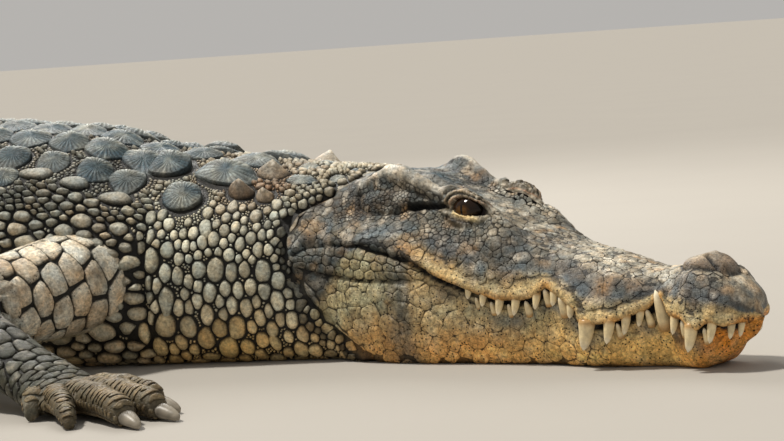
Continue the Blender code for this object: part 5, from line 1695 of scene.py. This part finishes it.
def crest(body, finish):
    """The flaps of the tail's crest: two lines that become one towards the tip."""
    made = []
    size = 9
    t, share = np.linspace(0, 1, size), np.linspace(-1, 1, size)
    tall = 1 - np.abs(share) ** 1.5
    spread = np.sign(share) * np.abs(share) ** 0.8
    folds = 0.07 * np.sin(tall * 22)[None, :, None]
    ends = np.array([[r * size + b, r * size + b + 1, r * size + 7 - b, r * size + 8 - b]
                     for r in (0, 8) for b in range(4)])
    # Where a flap's two sides meet on one point, the quad becomes a triangle.
    ends[ends[:, 1] == ends[:, 2]] = [[r * size + 3, r * size + 4, r * size + 5, -1] for r in (0, 8)]
    faces = np.concatenate([sheet_faces(size, size), ends])
    for i, (start, end) in enumerate(zip(WHORL, WHORL[1:])):
        doubled = i < DOUBLE_WHORLS
        run = start - 0.3 + (end - start + 0.5) * t
        rise = float(crest_up(end)) * (0.2 + 0.8 * np.where(t < 0.86, t / 0.86, (1 - t) / 0.14)) * 1.02
        rise = np.maximum(rise, 0.15)
        lean = place(run + 0.25 * rise, 0 * run, 0 * run) - place(run, 0 * run, 0 * run)
        thick = 0.5 + 0.12 * rise
        band = fade(np.sin((run - 160) * 0.36), 0.1, 0.7)[:, None]
        tone = painted(TAIL_OLIVE * 0.8, (SCUTE_PALE * 0.8, tall ** 2), (BAND_DARK, 0.7 * band))
        for side in ((-1, 1) if doubled else (0,)):
            c = side * float(body.rail_place((start + end) / 2, 2)) if doubled else 0.0
            base, n, _, around, _, _ = body.frame(run, np.full(size, c))
            top = base + np.array([0, 0, 1.0]) * (rise + float(scute_depth(start)) * 0.7)[:, None]
            top += lean * (t * 0.8)[:, None]
            half = spread[None, :] * thick[:, None] * (1 - 0.75 * tall[None, :])
            grid = base[:, None] - n[:, None] * 0.3 + (top - base)[:, None] * tall[None, :, None] \
                + around[:, None] * half[..., None]
            grid += folds * around[:, None] * np.sign(share)[None, :, None]
            made.append((grid.reshape(-1, 3), faces, (tone + np.zeros((size, size, 1))).reshape(-1, 3),
                         np.repeat(run, size), np.tile(share * 0.01 + c, size)))
    points, faces, tone, s, c = joined(made)
    piece = new_piece("tail_crest", points, faces, ["tail_1", "tail_2", "tail_3", "tail_4"],
                      finish, tone, (even_share(s), even_share(c)))
    form = bmesh.new()
    form.from_mesh(piece.data)
    bmesh.ops.recalc_face_normals(form, faces=form.faces)
    form.to_mesh(piece.data)
    form.free()


# ---- finishes

class Finish:
    """A new material, with short ways to add nodes and join them."""

    def __init__(self, name, roughness, specular=0.3):
        self.made = bpy.data.materials.new(name)
        self.made.use_nodes = True
        self.tree = self.made.node_tree
        self.shader = self.tree.nodes["Principled BSDF"]
        self.fill(self.shader, {"Roughness": roughness, "Specular IOR Level": specular})
        self.place = self.node("TexCoord").outputs["Object"]

    def fill(self, node, inputs):
        """Sets a node's inputs to numbers, or joins them to outputs."""
        for key, value in inputs.items():
            if isinstance(value, bpy.types.NodeSocket):
                self.tree.links.new(value, node.inputs[key])
            else:
                node.inputs[key].default_value = value

    def node(self, kind, inputs=None, **settings):
        made = self.tree.nodes.new("ShaderNode" + kind)
        for key, value in settings.items():
            setattr(made, key, value)
        self.fill(made, inputs or {})
        return made

    def noise(self, scale, detail=4.0, rough=0.6):
        given = {"Scale": scale, "Detail": detail, "Roughness": rough, "Vector": self.place}
        return self.node("TexNoise", given).outputs["Fac"]

    def ramp(self, value, low, high, at_low, at_high):
        given = {"From Min": low, "From Max": high, "To Min": at_low, "To Max": at_high, "Value": value}
        return self.node("MapRange", given).outputs["Result"]

    def times(self, a, b):
        return self.node("Math", {0: a, 1: b}, operation="MULTIPLY").outputs["Value"]

    def tone(self):
        """The colour painted on the mesh."""
        return self.node("Attribute", attribute_name="tone").outputs

    def colour(self, colour, factor):
        """Gives the shader this colour, made lighter or darker by a factor."""
        scaled = self.node("VectorMath", {0: colour, "Scale": factor}, operation="SCALE")
        self.fill(self.shader, {"Base Color": scaled.outputs["Vector"]})

    def bump(self, height, strength, distance):
        made = self.node("Bump", {"Strength": strength, "Distance": distance, "Height": height})
        self.fill(self.shader, {"Normal": made.outputs["Normal"]})


def hide_finish():
    """Dry horny skin: painted markings, fine speckle, pits and wrinkles, a low waxy shine."""
    new = Finish("crocodile_hide", 0.55)
    tone = new.tone()
    broad = new.ramp(new.noise(45, 5), 0.3, 0.7, 0.66, 1.32)
    grain = new.ramp(new.noise(240, 4, 0.65), 0.34, 0.66, 0.62, 1.36)
    pits = new.node("TexVoronoi", {"Scale": 205, "Vector": new.place})
    pit = new.ramp(pits.outputs["Distance"], 0.15, 0.23, 0.02, 1.0)
    fleck = new.ramp(new.noise(260, 3, 0.6), 0.56, 0.62, 1.0, 0.6)
    bend = new.node("TexNoise", {"Scale": 60, "Vector": new.place})
    bent = new.node("VectorMath", {0: bend.outputs["Color"], 1: (0.014, 0.014, 0.014), 2: new.place},
                    operation="MULTIPLY_ADD")
    cracks = new.node("TexVoronoi", {"Scale": 130, "Vector": bent.outputs["Vector"]},
                      feature="DISTANCE_TO_EDGE")
    pit = new.times(pit, new.ramp(cracks.outputs["Distance"], 0.0, 0.07, 0.62, 1.0))
    marks = new.node("Mix", {"A": 1.0, "Factor": tone["Alpha"], "B": new.times(pit, fleck)})
    marks = marks.outputs["Result"]
    factor = new.times(new.times(broad, grain), marks)
    # The colour drifts between a cool and a warm cast.
    warm = new.ramp(new.noise(70, 4, 0.6), 0.38, 0.62, 0.0, 1.0)
    drift = new.node("Mix", {4: (0.93, 0.99, 1.06), 5: (1.07, 1.0, 0.92), "Factor": warm},
                     data_type="VECTOR")
    hue = new.node("VectorMath", {0: tone["Color"], 1: drift.outputs[1]}, operation="MULTIPLY")
    new.colour(hue.outputs["Vector"], factor)
    new.fill(new.shader, {"Roughness": new.ramp(new.noise(90, 3), 0.3, 0.7, 0.34, 0.62)})
    new.bump(new.times(new.noise(280, 6, 0.65), marks), 0.8, 0.002)
    return new.made


def horn_finish(name, roughness, scale):
    """Teeth and claws: painted shade with fine streaks and stains."""
    new = Finish(name, roughness)
    new.colour(new.tone()["Color"], new.ramp(new.noise(scale, 5), 0.3, 0.7, 0.7, 1.12))
    new.bump(new.noise(scale * 3, 4), 0.35, 0.0006)
    return new.made


def eye_finish():
    new = Finish("wet_eye", 0.08, 0.25)
    new.colour(new.tone()["Color"], new.ramp(new.noise(900, 3), 0.3, 0.7, 0.8, 1.15))
    return new.made


def floor_finish():
    new = Finish("pale_floor", 0.85)
    mix = new.node("Mix", {"A": (0.35, 0.33, 0.3, 1), "B": (0.37, 0.35, 0.315, 1),
                           "Factor": new.noise(2.5, 3)}, data_type="RGBA")
    new.fill(new.shader, {"Base Color": mix.outputs["Result"]})
    return new.made


# ---- stage

def stage_floor():
    """A pale floor: one flat plane."""
    bpy.ops.object.select_all(action="DESELECT")
    bpy.ops.mesh.primitive_plane_add(size=600, location=(0, 0, 0))
    floor = bpy.context.object
    floor.name = "studio_floor"
    floor.data.materials.append(floor_finish())


def lamp(name, kind, power, colour, at, way, **more):
    data = bpy.data.lights.new(name, kind)
    data.energy, data.color = power, colour
    for key, value in more.items():
        setattr(data, key, value)
    made = new_object(name, data)
    made.location = at
    made.rotation_euler = Vector(way).to_track_quat("-Z", "Y").to_euler()


def lights():
    """A broad soft key from above and behind, an even pale room, and a weak fill at the side."""
    lamp("key", "SUN", 3.8, (1.0, 0.95, 0.87), (0, 0, 0), (0.5, 0.04, -1.0), angle=math.radians(7))
    head_at = place(40, 0, 15) * CM
    at = Vector((head_at[0] - 1.6, head_at[1] + 2.2, 2.2))
    lamp("back", "AREA", 60, (1.0, 0.97, 0.92), at, Vector(head_at) - at, shape="DISK", size=1.6)
    world = bpy.data.worlds.new("soft_room")
    world.use_nodes = True
    room = world.node_tree.nodes["Background"]
    room.inputs["Color"].default_value = (0.93, 0.9, 0.86, 1)
    room.inputs["Strength"].default_value = 0.5
    bpy.context.scene.world = world
    bpy.context.scene.view_settings.view_transform = "Standard"


CAMERA_TURN, CAMERA_PITCH, CAMERA_ROLL = map(math.radians, (17.383, 4.795, 3.913))
CAMERA_AWAY, CAMERA_SIDE, CAMERA_HIGH, CAMERA_LENS = 2.6, 0.03912, 0.38, 97.42
# Girth in centimetres by which a bake map's height is scaled, on the body and on a leg.
BODY_GIRTH, LEG_GIRTH = 40.0, 12.0


def camera():
    """Low at the right side of the head, aimed across the neck with a long lens."""
    data = bpy.data.cameras.new("side_camera")
    data.sensor_width = 36
    data.lens = CAMERA_LENS
    made = new_object("side_camera", data)
    ahead = Vector((-math.sin(CAMERA_TURN), math.cos(CAMERA_TURN), 0))
    right = Vector((math.cos(CAMERA_TURN), math.sin(CAMERA_TURN), 0))
    nape = Vector((place(47, 0, 0) + AXIS_SHIFT) * CM)
    at = nape - ahead * CAMERA_AWAY - right * CAMERA_SIDE
    at.z = CAMERA_HIGH
    look = ahead * math.cos(CAMERA_PITCH) - Vector((0, 0, math.sin(CAMERA_PITCH)))
    over = ahead * math.sin(CAMERA_PITCH) + Vector((0, 0, math.cos(CAMERA_PITCH)))
    c, s = math.cos(CAMERA_ROLL), math.sin(CAMERA_ROLL)
    side, top = right * c - over * s, over * c + right * s
    turned = Matrix((side, top, -look)).transposed().to_4x4()
    turned.translation = at
    made.matrix_world = turned
    bpy.context.scene.camera = made


# ---- making

def tester(hide, step):
    """A test of which points lie deeper than a depth inside a hide."""
    points = hide.grid[::step, ::step].reshape(-1, 3)
    normals = hide.normals[::step, ::step].reshape(-1, 3)
    tree = tree_of(points)
    low, top = points.min(0) - 1, points.max(0) + 1

    def inside(where, depth):
        result = np.all((where > low) & (where < top), axis=1)
        boxed = where[result]
        near = np.array([tree.find(p)[1] for p in boxed], int)
        result[result] = np.sum((boxed - points[near]) * normals[near], axis=1) < -depth
        return result

    return inside


def make_limbs():
    limbs = []
    for name in ARMS:
        hide, aim, knuckle, shape = leg_hide(name)
        tips = DIGITS[name]
        across = np.cross(aim, (0, 0, 1.0))
        sign = 1 if across @ (np.array([*tips[-1], 0.0]) - knuckle) > 0 else -1
        digits, ways = [], []
        for number, tip in enumerate(tips):
            spread = number / (len(tips) - 1)
            base = knuckle - aim * shape["palm"] * (0.18 + 0.45 * max(spread - 0.5, 0))
            base = base + across * sign * (spread - 0.5) * shape["wide"] * 1.25
            base[2] = 1.8
            digit, way, end = digit_hide(base, tip, shape, number < 3)
            digits.append(digit)
            ways.append((way, end))
        side, limb = name.split("_")
        is_arm = limb == "arm"
        nodes = [f"{side}_{part}" for part in (ARM_PARTS if is_arm else LEG_PARTS)]
        limbs.append(dict(leg=hide, digits=digits, ways=ways, shape=shape, is_arm=is_arm,
                          coat=name + "_scales", name=nodes[-1], nodes=nodes))
    return limbs


body = shaped_body()
limbs = make_limbs()
finish = hide_finish()
tooth_paint = horn_finish("old_ivory", 0.32, 120)
claw_paint = horn_finish("claw_horn", 0.38, 90)
wet_eye = eye_finish()

skin = skin_object(body, limbs)
paint_skin(skin, body, limbs)
settle(skin, FLESH, finish)

in_leg = [tester(limb["leg"], 2) for limb in limbs]
in_body = tester(body, 4)


def clear_of_legs(points):
    keep = np.ones(len(points), bool)
    for inside in in_leg:
        keep &= ~inside(points, 0.35)
    return keep


coat = body_coat(body, clear_of_legs)
lengths = {"head_scales": (-1, 52, ["head"]), "jaw_scales": (-1, 52, ["lower_jaw"]),
           "neck_scales": (52, 78, ["neck"]), "shoulder_scales": (78, 103, ["trunk"]),
           "flank_scales": (103, 134, ["trunk"]), "hip_scales": (134, 168, ["trunk"]),
           "tail_scales": (168, 340, ["tail_1", "tail_2", "tail_3", "tail_4"])}
seed_rail = body.rail_at(coat["s"], coat["c"])
for name, (start, end, nodes) in lengths.items():
    mask = (coat["s"] >= start) & (coat["s"] < end)
    if start < 0:
        mask &= (seed_rail < 6.05) if name.startswith("head") else (seed_rail >= 6.05)
    made = build_scales(body, coat, np.flatnonzero(mask), lambda s, c: body_tone(body, s, c))
    coat_piece(name, made, BODY_GIRTH, nodes, finish)
    print(name, int(mask.sum()), "scales")

rng = np.random.default_rng(5)
for limb in limbs:
    made = []
    whole = leg_coat(limb["leg"], rng)
    middle = limb["leg"].at(whole["s"], whole["c"])[0]
    whole = only(whole, ~in_body(middle, 0.3))
    made += build_scales(limb["leg"], whole, np.arange(len(whole["s"])), lambda s, c: leg_tone(limb, s, c))
    for k, digit in enumerate(limb["digits"]):
        bands = digit_coat(digit, rng)
        middle = digit.at(bands["s"], bands["c"])[0]
        found = build_scales(digit, bands, np.arange(len(bands["s"])),
                             lambda s, c: digit_tone(digit, s, c))
        for part in found:
            made.append((*part[:3], part[3] + limb["leg"].runs[-1] + 3 + k * 22, part[4]))
    coat_piece(limb["coat"], made, LEG_GIRTH, limb["nodes"], finish)
    claws_of(limb, claw_paint)

for side in (-1, 1):
    lids(body, side, finish)
    eyeball(side, wet_eye)
tooth_row("upper_teeth", UPPER_TEETH, False, ["head"], tooth_paint)
tooth_row("lower_teeth", LOWER_TEETH, True, ["lower_jaw"], tooth_paint)
crest(body, finish)

stage_floor()
lights()
camera()
